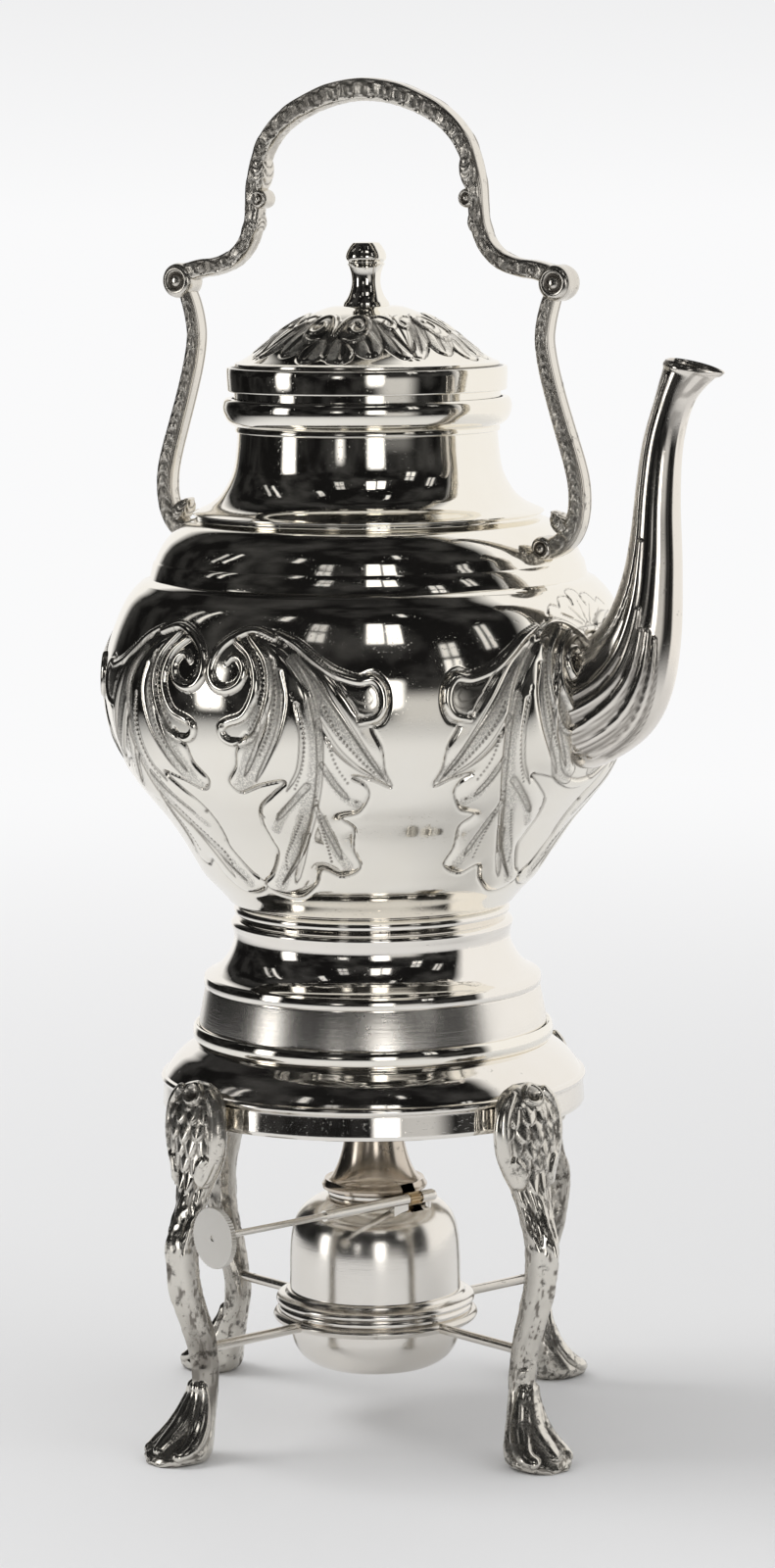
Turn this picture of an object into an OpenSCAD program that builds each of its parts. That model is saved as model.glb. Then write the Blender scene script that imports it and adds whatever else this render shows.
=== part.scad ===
// Silver spirit kettle on a four-legged stand with its burner.
// Millimetres, +Z up, origin on the table under the kettle's axis, spout towards +X.

/* [Kettle] */
// Widest radius of the belly
belly_r = 78.5; // [77:0.5:80]
// Outer radius of the straight neck
neck_r = 38.3; // [37.5:0.1:39]
// Thickness of the spun sheet
sheet = 1.0; // [0.8:0.1:1.2]
// Height of the kettle's seat above the table
seat_z = 121; // [119:0.5:123]

/* [Handle] */
// Half the depth of the cast handle, front to back
handle_half_depth = 3.3; // [2.8:0.1:3.8]
// Radius of the scroll at each corner
corner_scroll_r = 5.25; // [4.8:0.05:5.6]

/* [Spout] */
// Half the width of the spout where it leaves the body
spout_root_half = 15.5; // [14:0.5:17]
// Depth of the flutes at the spout's root
flute_depth = 0.9; // [0:0.1:1.2]
// Thickness of the spout's wall
spout_wall = 1.3; // [1:0.1:1.6]
// Diameter of each hole in the strainer
strainer_hole_d = 3.2; // [2.5:0.1:3.6]

/* [Lid] */
// Gap between the lid's bezel and the mouth, all round
bezel_gap = 0.6; // [0.4:0.1:0.8]
// Distance of the hinge pin behind the kettle's axis
hinge_y = 44.4; // [44.2:0.1:45]
// Radius of the hinge pin
pin_r = 0.8; // [0.6:0.1:1]

/* [Stand] */
// Turn of the first leg from the spout, seen from above, in degrees
first_leg_turn = -17.3; // [-25:0.1:-10]
// Radius of the tie rods that hold the burner ring
strut_r = 1.5; // [1.2:0.1:1.8]
// Height of the tie rods above the table
strut_z = 32.5; // [32.3:0.1:32.8]

/* [Burner] */
// Outer radius of the reservoir's straight wall
reservoir_r = 25.7; // [25:0.1:25.8]
// Radius of the wick
wick_r = 5.2; // [4.5:0.1:5.2]
// Radius of the wick spindle
spindle_r = 1.0; // [0.8:0.05:1.1]
// Radius of the thumb wheel
thumb_r = 9.0; // [8:0.5:10]
// Count of notches round the thumb wheel
thumb_notches = 60; // [40:2:72]

/* [Hidden] */
$fn = 96;

silver = "#d9d7cf";
worn_silver = "#b9b4a8";
warm_metal = "#9c8468";
cotton = "#e8e0cc";

// Helpers for curves and profiles

function reversed(list) = [for (i = [len(list) - 1:-1:0]) list[i]];

function between(a, b, c, d, t) =
    0.5 * (2 * b + (c - a) * t + (2 * a - 5 * b + 4 * c - d) * t * t + (3 * b - a - 3 * c + d) * t * t * t);

// A smooth line through the given points, with a number of steps from each to the next
function smooth(points, steps) =
    let (last = len(points) - 1)
    [for (i = [0:last - 1], j = [0:steps - 1])
        between(points[max(i - 1, 0)], points[i], points[i + 1], points[min(i + 2, last)], j / steps),
     points[last]];

function outward(points, i) =
    let (run = points[min(i + 1, len(points) - 1)] - points[max(i - 1, 0)])
    [run[1], -run[0]] / norm(run);

// The outline of a spun sheet whose outer face follows the points
function sheet_outline(points, wall) =
    concat(points, reversed([for (i = [0:len(points) - 1]) points[i] - outward(points, i) * wall]));

function ring_of(centre, side, half_side, up, half_up, count, squareness) =
    [for (k = [0:count - 1])
        let (a = 360 * k / count, c = cos(a), s = sin(a), e = 1 / squareness)
        centre + side * half_side * sign(c) * pow(abs(c), e) + up * half_up * sign(s) * pow(abs(s), e)];

// A closed solid through rings of equal length
module loft(rings) {
    n = len(rings[0]);
    last = len(rings) - 1;
    skin = [for (i = [0:last - 1], k = [0:n - 1])
        let (a = i * n + k, b = i * n + (k + 1) % n)
        each [[a, a + n, b], [b, a + n, b + n]]];
    start = [for (k = [1:n - 2]) [0, k, k + 1]];
    end = [for (k = [1:n - 2]) [last * n, last * n + k + 1, last * n + k]];
    polyhedron(points = [for (ring = rings) each ring], faces = concat(skin, start, end), convexity = 6);
}

module spun(outline) rotate_extrude() polygon(outline);

module on_seat() translate([0, 0, seat_z]) children();

// Profiles of the kettle, as radius and height above the seat

bowl_floor_h = 36.5;
bowl_top_h = 134.2;
bowl_curve = smooth([
    [42.4, 38.0], [45.5, 41.6], [49.8, 46.1], [52.6, 50.8], [56.2, 57.0], [60.2, 62.9], [65.3, 69.2],
    [belly_r - 8.3, 75.6], [belly_r - 4.3, 83.5], [belly_r - 1.7, 90.8], [belly_r - 0.4, 97.5],
    [belly_r, 104.0], [belly_r - 0.4, 109.8], [belly_r - 1.7, 115.6], [belly_r - 3.7, 121.4],
    [belly_r - 6.2, 126.8], [belly_r - 8.5, 130.2], [belly_r - 11.3, 133.0]], 3);
bowl_outer = concat([[0, bowl_floor_h], [20, bowl_floor_h], [40.6, bowl_floor_h]], bowl_curve, [[64.7, bowl_top_h]]);

shoulder_outer = concat(
    [[64.7, bowl_top_h], [63.6, 138.6]],
    smooth([[63.0, 139.2], [62.4, 140.6], [61.2, 143.0], [59.4, 145.6], [57.0, 148.0], [54.4, 149.9], [51.7, 151.0]], 3),
    [[50.9, 151.5], [50.7, 152.2], [51.7, 152.7], [51.8, 153.2]],
    smooth([[50.6, 153.8], [46.9, 155.5], [43.9, 157.9], [41.9, 160.6], [40.4, 163.5],
            [39.4, 166.6], [neck_r + 0.4, 171.5], [neck_r, 176.5]], 3),
    [[neck_r, 181.5]]);
shoulder_inner = concat(
    [[neck_r - sheet, 181.5]],
    smooth([[neck_r - sheet, 175.5], [neck_r - 0.6, 171.3], [38.3, 166.2], [40.8, 160.2],
            [44.6, 155.6], [49.2, 152.2], [49.8, 150.4], [53.4, 149.0], [56.3, 147.0],
            [58.6, 144.7], [60.3, 142.2], [61.6, 139.6]], 2),
    [[62.5, 138.2], [63.6, bowl_top_h]]);

rim_outline = concat(
    [[neck_r, 176.6], [neck_r + 0.6, 176.8], [neck_r + 0.7, 177.6], [neck_r + 0.5, 178.2]],
    smooth([[neck_r + 1.2, 178.6], [neck_r + 3.0, 180.0], [neck_r + 4.0, 182.2],
            [neck_r + 4.25, 184.0], [neck_r + 3.9, 185.8], [neck_r + 3.2, 186.6]], 3),
    [[neck_r + 1.6, 186.6], [neck_r + 1.6, 181.5], [neck_r, 181.5]]);

foot_outline = concat(
    smooth([[40.2, bowl_floor_h], [41.0, 35.7], [41.0, 34.4], [40.0, 33.2]], 3),
    smooth([[39.9, 32.8], [41.2, 32.2], [42.0, 31.2], [41.8, 30.0], [41.4, 28.8], [41.2, 26.6], [41.8, 24.0],
            [43.2, 21.2], [45.1, 18.6], [47.4, 16.8], [49.4, 15.8]], 3),
    [[50.1, 15.3], [50.3, 12.6], [49.9, 12.1], [50.1, 11.4], [51.9, 1.6], [52.0, 0.4], [51.7, 0],
     [50.4, 0], [48.7, 12.4]],
    smooth([[46.6, 15.2], [44.0, 17.4], [42.0, 20.6], [40.6, 24.2], [40.0, 28.6], [39.2, 32.6]], 3),
    [[39.2, bowl_floor_h]]);

lid_seat_h = 188.7;
lid_top_h = 213.3;
lid_outer = concat(
    [[0, lid_top_h]],
    smooth([[6.9, lid_top_h], [11.5, 212.8], [19.6, 209.3], [26.9, 204.8], [33.1, 200.0], [37.4, 197.3]], 4),
    [[38.5, 197.0], [39.0, 196.6], [39.0, 195.6], [neck_r + 1.4, 195.4], [neck_r + 2.5, 195.7],
     [neck_r + 3.0, 195.2], [neck_r + 2.8, lid_seat_h]]);
lid_inner = concat(
    [[neck_r + 1.8, lid_seat_h], [neck_r + 1.9, 194.4], [38.0, 194.6], [37.9, 196.0]],
    smooth([[36.9, 196.4], [32.6, 199.1], [26.4, 203.9], [19.2, 208.4], [11.3, 211.9], [6.9, 212.3]], 4),
    [[0, 212.3]]);

finial_outline = concat(
    [[0, lid_top_h], [6.9, lid_top_h]],
    smooth([[6.6, 214.3], [5.3, 216.2], [4.5, 218.4], [4.2, 220.4], [4.4, 222.6], [5.0, 224.6]], 3),
    smooth([[5.6, 225.5], [5.2, 225.9], [5.8, 226.8], [5.95, 227.8], [5.5, 229.3], [4.6, 230.8]], 3),
    [[3.9, 231.6], [0, 231.9]]);

// Profiles of the stand, as radius and height above the seat

stand_outer = concat(
    [[49, -4.4], [52.9, -4.4]],
    smooth([[53.4, -4.9], [55.2, -6.2], [57.6, -8.0], [59.9, -10.4], [61.5, -12.6], [62.2, -13.8]], 3),
    [[63.1, -14.1], [63.5, -14.8], [63.4, -15.5], [63.0, -16.0], [62.4, -22.6], [62.7, -23.0], [62.3, -23.5]]);
stand_inner = concat(
    [[61.2, -23.5], [61.7, -15.6]],
    smooth([[60.5, -13.4], [58.8, -11.1], [56.6, -9.0], [54.2, -7.2], [52.2, -5.9]], 3),
    [[49, -5.6]]);
stand_filled = concat([[0, -4.4]], stand_outer, [[0, -23.5]]);

seat_outline = concat(
    [[49, 0], [52.4, 0], [52.4, 0.6]],
    smooth([[52.8, 0.95], [53.4, 0.5], [53.85, -1.0], [53.8, -2.5], [53.3, -3.8], [52.6, -4.4]], 3),
    [[49, -4.4]]);

// Profiles of the burner, as radius and height above the table

ring_top_z = 34;
ring_outline = concat(
    [[26.2, 31.1]],
    smooth([[28.6, 30.8], [30.0, 31.3], [30.75, 32.5], [30.1, 33.6], [29.0, ring_top_z]], 3),
    [[26.2, ring_top_z]]);

reservoir_neck_r = 12.2;
reservoir_outer = concat(
    [[0, 14.8]],
    smooth([[10, 14.8], [17.2, 15.6], [21.6, 18.2], [24.2, 21.9], [reservoir_r - 0.3, 26.0], [reservoir_r, 30.5]], 4),
    smooth([[reservoir_r, 45], [reservoir_r - 0.1, 50.5], [reservoir_r - 0.4, 55.5], [24.5, 59.9],
            [22.9, 63.4], [20.2, 66.2], [17.2, 68.0], [14.2, 68.9], [reservoir_neck_r, 69.1]], 3));
reservoir_filled = concat(reservoir_outer, [[0, 69.1]]);

girdle_outline = concat(
    [[reservoir_r, ring_top_z], [28.8, ring_top_z]],
    smooth([[29.2, 34.4], [29.3, 35.2], [28.9, 36.1]], 3),
    smooth([[29.4, 36.3], [29.9, 37.2], [29.5, 38.3], [28.4, 38.9]], 3),
    [[27.2, 39.3], [26.6, 40.2], [reservoir_r, 40.4]]);

cone_lower_r = 10.6;
cone_outline = concat(
    [[cone_lower_r, 67], [cone_lower_r, 70.6], [14.6, 70.6]],
    smooth([[15.4, 70.8], [15.9, 71.6], [15.6, 72.5], [14.9, 72.9]], 3),
    [[15.2, 73.4], [15.1, 73.9], [13.8, 73.7]],
    smooth([[13.2, 74.2], [12.2, 75.7], [11.0, 78.2], [10.0, 81.2], [9.2, 84.6], [8.4, 89.0], [7.8, 93.5], [7.4, 98.0]], 3),
    [[6.3, 98.0], [6.3, 97.0]],
    smooth([[7.0, 93.2], [7.6, 88.8], [8.4, 84.2], [9.2, 80.7], [9.8, 77.0]], 2),
    [[9.8, 67]]);

// The kettle's sheet-metal pieces

module kettle_bowl()
    color(silver) on_seat() difference() {
        spun(sheet_outline(bowl_outer, sheet));
        translate([belly_r - 12, 0, 100]) rotate([0, 90, 0]) cylinder(r = 12, h = 30);
    }

module shoulder() color(silver) on_seat() spun(concat(shoulder_outer, shoulder_inner));

module mouth_rim() color(silver) on_seat() spun(rim_outline);

module foot_ring() color(silver) on_seat() spun(foot_outline);

// A patch of sheet inside the wall over the spout's root, pierced with rings of holes

strainer_r = 14.5;
module strainer()
    color(silver) on_seat() difference() {
        intersection() {
            spun(sheet_outline([for (i = [0:len(bowl_outer) - 1]) bowl_outer[i] - outward(bowl_outer, i) * sheet], 0.8));
            translate([belly_r - 25, 0, 100]) rotate([0, 90, 0]) cylinder(r = strainer_r, h = 40);
        }
        for (row = [0:2], k = [0:max(row * 6 - 1, 0)])
            translate([belly_r - 25, 0, 100]) rotate([k * 60 / max(row, 1), 0, 0]) translate([0, row * 4.4, 0])
                rotate([0, 90, 0]) cylinder(d = strainer_hole_d, h = 40);
    }

// The spout: at each station the upper edge, the lower edge, half the width, and how far it narrows to the lip

spout_stations = smooth([
    [66.0, 118.5, 66.0, 83.0, spout_root_half, 0],
    [75.0, 119.5, 76.2, 81.2, spout_root_half, 0],
    [79.3, 122.6, 91.5, 89.8, 13.0, 0],
    [83.2, 128.9, 99.6, 101.4, 10.7, 0],
    [86.9, 139.0, 103.3, 118.0, 8.8, 0],
    [89.3, 151.0, 104.0, 139.0, 7.5, 0],
    [90.8, 163.5, 103.5, 158.5, 6.6, 0],
    [92.9, 175.8, 104.5, 174.6, 5.9, 0],
    [96.4, 187.0, 108.0, 186.4, 5.8, 0.05],
    [99.0, 195.4, 114.0, 193.0, 6.2, 0.35],
    [100.2, 199.2, 118.3, 195.4, 6.4, 0.5]], 3);
spout_sides = 40;

function spout_ring(s, sides, wall, flute) =
    let (upper = [s[0], 0, s[1]], lower = [s[2], 0, s[3]], centre = (upper + lower) / 2,
         half = norm(lower - upper) / 2, side = (lower - upper) / (2 * half))
    [for (k = [0:sides - 1])
        let (a = 360 * k / sides, narrow = 1 - s[5] * pow((1 + cos(a)) / 2, 2),
             cut = flute * (1 - cos(10 * a)) / 2 * (cos(a) > -0.3 ? 1 : 0))
        centre + side * (half - wall - cut) * cos(a) + [0, (s[4] * narrow - wall - cut) * sin(a), 0]];

module spout() {
    last = len(spout_stations) - 1;
    fade = last / 2;
    color(silver) on_seat() difference() {
        loft([for (i = [0:last]) spout_ring(spout_stations[i], spout_sides, 0, flute_depth * max(0, 1 - i / fade))]);
        loft([for (i = [0:last]) spout_ring(spout_stations[i] + (i == last ? [0.3, 2, 0.3, 2, 0, 0] : [0, 0, 0, 0, 0, 0]),
                                            12, spout_wall, 0)]);
        spun(concat([[0, bowl_floor_h]], bowl_outer, [[0, bowl_top_h]]));
    }
}

// The cast handle: along its line, the distance out, the height above the seat, and half its thickness

bow_half = [
    [0, 276.1, 3.35], [10, 275.0, 3.3], [19.8, 271.7, 3.1], [27.6, 267.4, 2.95], [33.0, 262.0, 2.8],
    [36.3, 255.5, 2.6], [37.9, 249.0, 2.5], [38.4, 242.5, 2.5], [39.2, 236.5, 2.5], [41.8, 230.8, 2.55],
    [46.5, 226.6, 2.6], [52.6, 224.6, 2.65], [58.5, 223.8, 2.8], [64.0, 222.0, 3.0]];
bow_line = smooth(concat([for (p = reversed(bow_half)) if (p[0] > 0) [-p[0], p[1], p[2]]], bow_half), 2);
arm_line = smooth([
    [64.3, 219.5, 1.7], [62.2, 214.5, 2.1], [60.7, 209.0, 2.2], [60.2, 203.5, 2.2], [61.4, 196.0, 2.3],
    [63.9, 187.0, 2.35], [67.0, 177.5, 2.45], [69.8, 169.0, 2.6], [71.3, 162.5, 2.65], [71.4, 156.0, 2.7],
    [69.9, 150.4, 2.9], [66.8, 146.4, 3.1], [62.0, 143.8, 3.0]], 2);
corner_scroll = [65.0, 220.3];
inner_scroll = [35.8, 244.5];
foot_scroll = [60.5, 143.6];

function strip_rings(line) =
    let (last = len(line) - 1)
    [for (i = [0:last])
        let (run = line[min(i + 1, last)] - line[max(i - 1, 0)], n = norm([run[0], run[1]]))
        ring_of([line[i][0], 0, line[i][1]], [run[1] / n, 0, -run[0] / n], line[i][2],
                [0, 1, 0], handle_half_depth, 12, 1.35)];

// A rolled scroll end, lying across the handle
module scroll(at, r, half_width)
    translate([at[0], 0, at[1]]) rotate([90, 0, 0])
        spun(concat(
            [[0, -half_width]],
            smooth([[r * 0.35, -half_width], [r * 0.8, -half_width * 0.9], [r, -half_width * 0.45],
                    [r, half_width * 0.45], [r * 0.8, half_width * 0.9], [r * 0.35, half_width]], 2),
            [[0, half_width]]));

module handle_bow()
    color(worn_silver) on_seat() {
        loft(strip_rings(bow_line));
        for (end = [-1, 1]) {
            scroll([end * corner_scroll[0], corner_scroll[1]], corner_scroll_r, 4.4);
            scroll([end * inner_scroll[0], inner_scroll[1]], 2.9, 3.3);
        }
    }

module handle_arm(turn)
    color(worn_silver) on_seat() rotate([0, 0, turn]) difference() {
        union() {
            loft(strip_rings(arm_line));
            scroll(foot_scroll, 4.2, 4.2);
        }
        scroll(corner_scroll, corner_scroll_r, 4.4);
        rotate([0, 0, 90]) spun(concat([[0, bowl_top_h]], shoulder_outer, [[0, 181.5]]));
    }
module handle_arm_front() handle_arm(0);
module handle_arm_rear() handle_arm(180);

// The lid and its hinge

module lid_shell()
    color(silver) on_seat() difference() {
        spun(concat(lid_outer, lid_inner));
        translate([0, 0, 205]) cylinder(r = 1.5, h = 12);
    }

bezel_r = neck_r + 1.6 - bezel_gap;
module lid_bezel()
    color(silver) on_seat()
        spun([[bezel_r - 0.9, 181.8], [bezel_r, 181.8], [bezel_r, 189.4], [neck_r + 1.8, 189.4],
              [neck_r + 1.8, 190.4], [bezel_r - 0.9, 190.4]]);

module finial()
    color(silver) on_seat() {
        spun(finial_outline);
        translate([0, 0, 206]) cylinder(r = 1.5, h = 8);
    }

module finial_nut()
    color(silver) on_seat() translate([0, 0, 208.9]) difference() {
        union() {
            translate([0, 0, 2.4]) cylinder(r = 5, h = 1);
            cylinder(r = 3.2, h = 2.4, $fn = 6);
        }
        translate([0, 0, -1]) cylinder(r = 1.5, h = 6);
    }

hinge_h = 187.6;
knuckle_r = 2.1;
lid_knuckle_half = 4.0;
rim_knuckle_len = 6;
knuckle_gap = 0.3;

module on_hinge_line() translate([0, hinge_y, hinge_h]) rotate([0, 90, 0]) children();

// A knuckle and its leaf: the leaf's outline is given as distance behind the axis and height
module knuckle(from, length, leaf) {
    translate([from, 0, 0]) {
        translate([0, hinge_y, hinge_h]) rotate([0, 90, 0]) cylinder(r = knuckle_r, h = length);
        rotate([90, 0, 90]) linear_extrude(length) polygon(leaf);
    }
}

module rim_hinge()
    color(silver) on_seat() difference() {
        for (side = [-1, 1])
            knuckle(side > 0 ? lid_knuckle_half + knuckle_gap : -lid_knuckle_half - knuckle_gap - rim_knuckle_len,
                    rim_knuckle_len,
                    [[40, 182.4], [43.2, 182.4], [hinge_y + 1.9, 186.8], [hinge_y, hinge_h], [42.6, 186.5], [40, 186.5]]);
        spun(concat([[0, 176.6]], rim_outline, [[0, 181.5]]));
        cylinder(r = neck_r + 3, h = 200);
        on_hinge_line() translate([0, 0, -20]) cylinder(r = pin_r, h = 40);
    }

module lid_hinge()
    color(silver) on_seat() difference() {
        knuckle(-lid_knuckle_half, 2 * lid_knuckle_half,
                [[39, 189.4], [42.8, 188.9], [hinge_y + 1.2, 189.3], [hinge_y - 0.6, 190.6], [42.6, 194.2], [39, 194.2]]);
        spun(concat([[0, lid_seat_h]], reversed(lid_outer)));
        on_hinge_line() translate([0, 0, -20]) cylinder(r = pin_r + 0.05, h = 40);
    }

module hinge_pin() {
    half = lid_knuckle_half + knuckle_gap + rim_knuckle_len;
    color(silver) on_seat() on_hinge_line() {
        translate([0, 0, -half]) cylinder(r = pin_r, h = 2 * half);
        for (end = [-half - 0.6, half]) translate([0, 0, end]) cylinder(r = pin_r + 0.5, h = 0.6);
    }
}

// The stand

module stand_top() color(silver) on_seat() spun(concat(stand_outer, stand_inner));

module seat_ring() color(silver) on_seat() spun(seat_outline);

module at_leg(i) rotate([0, 0, first_leg_turn + 90 * (i - 1)]) children();

module burner_ring()
    color(worn_silver) difference() {
        spun(ring_outline);
        for (i = [1:4]) at_leg(i) translate([29.4, 0, strut_z]) rotate([0, 90, 0]) cylinder(r = strut_r, h = 10);
    }

strut_len = 35.8;
module strut(i)
    color(worn_silver) at_leg(i) translate([29.4, 0, strut_z]) rotate([0, 90, 0]) cylinder(r = strut_r, h = strut_len);

// The cabriole leg: at each station the inner edge, the outer edge, half the width, and how strong its ribs are
leg_stations = [
    [64.2, 111.4, 66.0, 111.9, 2.6, 0], [63.4, 109.6, 68.4, 110.8, 6.4, 0.02], [62.6, 106.6, 70.6, 107.4, 9.2, 0.05],
    [62.6, 102.5, 72.2, 102.7, 10.4, 0.07], [62.6, 97.0, 73.0, 97.0, 10.4, 0.07], [62.5, 91.0, 72.9, 91.0, 9.2, 0.06],
    [62.9, 86.0, 72.8, 85.0, 7.2, 0.04], [64.7, 81.4, 73.6, 78.4, 5.8, 0.02], [67.0, 75.2, 76.0, 71.8, 5.4, 0],
    [68.7, 67.8, 78.5, 66.2, 5.3, 0], [69.2, 60.0, 79.0, 60.0, 5.1, 0], [68.4, 53.0, 77.6, 51.0, 4.9, 0],
    [66.0, 45.0, 74.3, 42.1, 4.6, 0], [63.3, 35.8, 71.3, 34.2, 4.4, 0], [61.9, 27.2, 69.9, 26.8, 4.2, 0],
    [62.3, 20.2, 70.4, 20.3, 4.4, 0.02], [62.9, 14.0, 72.6, 16.6, 5.4, 0.05], [64.2, 7.5, 75.8, 13.0, 7.0, 0.08],
    [66.6, 1.5, 80.0, 9.6, 8.6, 0.10], [71.0, -0.6, 84.0, 6.9, 9.6, 0.10], [77.0, -0.9, 87.2, 4.9, 9.4, 0.09],
    [84.0, -0.9, 89.3, 3.2, 7.4, 0.06], [89.0, -0.4, 90.0, 1.2, 3.4, 0]];
leg_sides = 28;
leg_ribs = 7;

function leg_ring(p) =
    let (inner = [p[0], 0, p[1]], outer = [p[2], 0, p[3]])
    [for (k = [0:leg_sides - 1])
        let (a = 360 * k / leg_sides, rib = 1 + p[5] * cos(leg_ribs * a))
        (inner + outer) / 2 + (inner - outer) / 2 * rib * cos(a) + [0, p[4] * rib * sin(a), 0]];

module leg(i)
    color(worn_silver) at_leg(i) difference() {
        loft([for (p = leg_stations) leg_ring(p)]);
        on_seat() spun(stand_filled);
        translate([0, 0, -20]) cylinder(r = 120, h = 20);
        translate([29.4, 0, strut_z]) rotate([0, 90, 0]) cylinder(r = strut_r, h = strut_len);
    }

// The burner. Its spindle passes beside the neck, and meets the rack where it is nearest to the axis

spindle_turn = -17.15;
spindle_off = 17.6;
spindle_z = 70;
thumb_at = -76;

// Turns the local X axis to point from the burner's axis to the spindle, and Y along the spindle, inwards from the wheel
module by_spindle() rotate([0, 0, spindle_turn]) children();
module along_spindle(from) by_spindle() translate([spindle_off, from, spindle_z]) rotate([-90, 0, 0]) children();

rack_half_width = 1.7;
pitch_r = 1.7;
pinion_teeth = 8;
tooth_pitch = 2 * PI * pitch_r / pinion_teeth;
tooth_high = 0.25;
root_gap = 0.1;
tooth_base = 0.26;
tooth_tip = 0.13;
pinion_half_width = 2;
wick_travel = 8;

module reservoir()
    color(silver) difference() {
        spun(sheet_outline(reservoir_outer, 0.9));
        translate([0, 0, 60]) cylinder(r = reservoir_neck_r, h = 20);
        by_spindle() translate([14.2, -2.4, 60]) cube([5.6, 4.8, 20]);
    }

module girdle() color(silver) spun(girdle_outline);

module burner_neck()
    color(silver)
        spun([[cone_lower_r, 66.6], [reservoir_neck_r, 66.6], [reservoir_neck_r, 69.1], [13.9, 69.1], [14.2, 69.5],
              [14.2, 70.3], [13.9, 70.6], [cone_lower_r, 70.6]]);

module burner_cone()
    color(silver) difference() {
        spun(cone_outline);
        by_spindle() translate([14.2, -2.4, 60]) cube([5.6, 4.8, 20]);
    }

module wick_tube() color(warm_metal) spun([[5.5, 60], [6.3, 60], [6.3, 98.3], [5.5, 98.3]]);

sleeve_from = -34.8;
sleeve_to = -2.5;
sleeve_r = 1.65;
module bearing_sleeve()
    color(silver) along_spindle(sleeve_from) difference() {
        cylinder(r = sleeve_r, h = sleeve_to - sleeve_from);
        translate([0, 0, -1]) cylinder(r = spindle_r + 0.05, h = 40);
    }

module sleeve_bracket()
    color(silver) difference() {
        by_spindle() translate([spindle_off - 1.2, -8.5, 64]) cube([2.4, 5.5, 5.4]);
        spun(reservoir_filled);
        along_spindle(-20) cylinder(r = sleeve_r, h = 20);
    }

module end_bearing()
    color(silver) difference() {
        union() {
            along_spindle(2.5)
                spun(concat([[0, 0], [1.9, 0], [1.9, 4.4]], smooth([[1.9, 4.6], [1.5, 5.6], [0.8, 6.1]], 3), [[0, 6.2]]));
            by_spindle() translate([spindle_off, 5.4, 64]) cylinder(r = 1.3, h = 6);
        }
        spun(reservoir_filled);
        along_spindle(1) cylinder(r = spindle_r + 0.05, h = 6.1);
    }

module wick() color(cotton) translate([0, 0, 22]) cylinder(r = wick_r, h = 76.6);

carrier_z = 49.5;
rack_inner = 14.6;
module wick_carrier()
    color(warm_metal) difference() {
        union() {
            translate([0, 0, carrier_z]) cylinder(r = 7, h = 2);
            by_spindle() translate([0, -rack_half_width, carrier_z]) cube([rack_inner, 2 * rack_half_width, 2]);
        }
        cylinder(r = wick_r, h = 100);
    }

rack_top_z = 71.4;
rack_face = spindle_off - pitch_r - tooth_high - root_gap;
rack_tip = spindle_off - pitch_r + tooth_high;
function rack_tooth(z) = [
    [rack_face, z - tooth_base], [rack_tip, z - tooth_tip], [rack_tip, z + tooth_tip], [rack_face, z + tooth_base]];
// The lowest tooth is the one that still meets the pinion with the wick fully raised
rack_teeth = floor((wick_travel + 2) / tooth_pitch);
module wick_rack()
    color(warm_metal) by_spindle() translate([0, rack_half_width, 0]) rotate([90, 0, 0])
        linear_extrude(2 * rack_half_width)
            polygon(concat(
                [[rack_inner, rack_top_z], [rack_inner, carrier_z], [rack_face, carrier_z]],
                [for (k = [rack_teeth:-1:0]) each rack_tooth(spindle_z + tooth_pitch * (0.5 - k))],
                [[rack_face, rack_top_z]]));

module wick_spindle() color(silver) along_spindle(thumb_at + 0.85) cylinder(r = spindle_r, h = -thumb_at - 0.85 + 7);

module thumb_wheel()
    color(silver) along_spindle(thumb_at - 0.85) difference() {
        linear_extrude(1.7) polygon([for (k = [0:2 * thumb_notches - 1])
            let (a = 180 * k / thumb_notches, r = k % 2 == 0 ? thumb_r : thumb_r - 0.35) r * [cos(a), sin(a)]]);
        translate([0, 0, -0.2]) cylinder(r = 1, h = 0.5);
    }

pinion_root = pitch_r - tooth_high - root_gap;
module pinion()
    color(warm_metal) along_spindle(-pinion_half_width) difference() {
        union() {
            cylinder(r = pinion_root, h = 2 * pinion_half_width);
            for (k = [0:pinion_teeth - 1]) rotate([0, 0, 360 * k / pinion_teeth])
                linear_extrude(2 * pinion_half_width)
                    polygon([[pinion_root - 0.2, -tooth_base], [pitch_r + tooth_high, -tooth_tip],
                             [pitch_r + tooth_high, tooth_tip], [pinion_root - 0.2, tooth_base]]);
        }
        translate([0, 0, -1]) cylinder(r = spindle_r, h = 10);
    }

stand_top();
seat_ring();
burner_ring();
for (i = [1:4]) leg(i);
for (i = [1:4]) strut(i);
kettle_bowl();
shoulder();
mouth_rim();
foot_ring();
spout();
strainer();
handle_bow();
handle_arm_front();
handle_arm_rear();
rim_hinge();
hinge_pin();
lid_shell();
lid_bezel();
finial();
finial_nut();
lid_hinge();
reservoir();
girdle();
burner_neck();
burner_cone();
wick_tube();
bearing_sleeve();
sleeve_bracket();
end_bearing();
wick();
wick_carrier();
wick_rack();
wick_spindle();
thumb_wheel();
pinion();
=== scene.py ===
"""A chased silver spirit kettle on its four-legged stand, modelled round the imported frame.

Lengths in the tables are millimetres, as in the part's source. Heights of kettle profiles are above the seat.
"""

import math

import bpy
import numpy as np
from mathutils import Matrix, Vector


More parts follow.
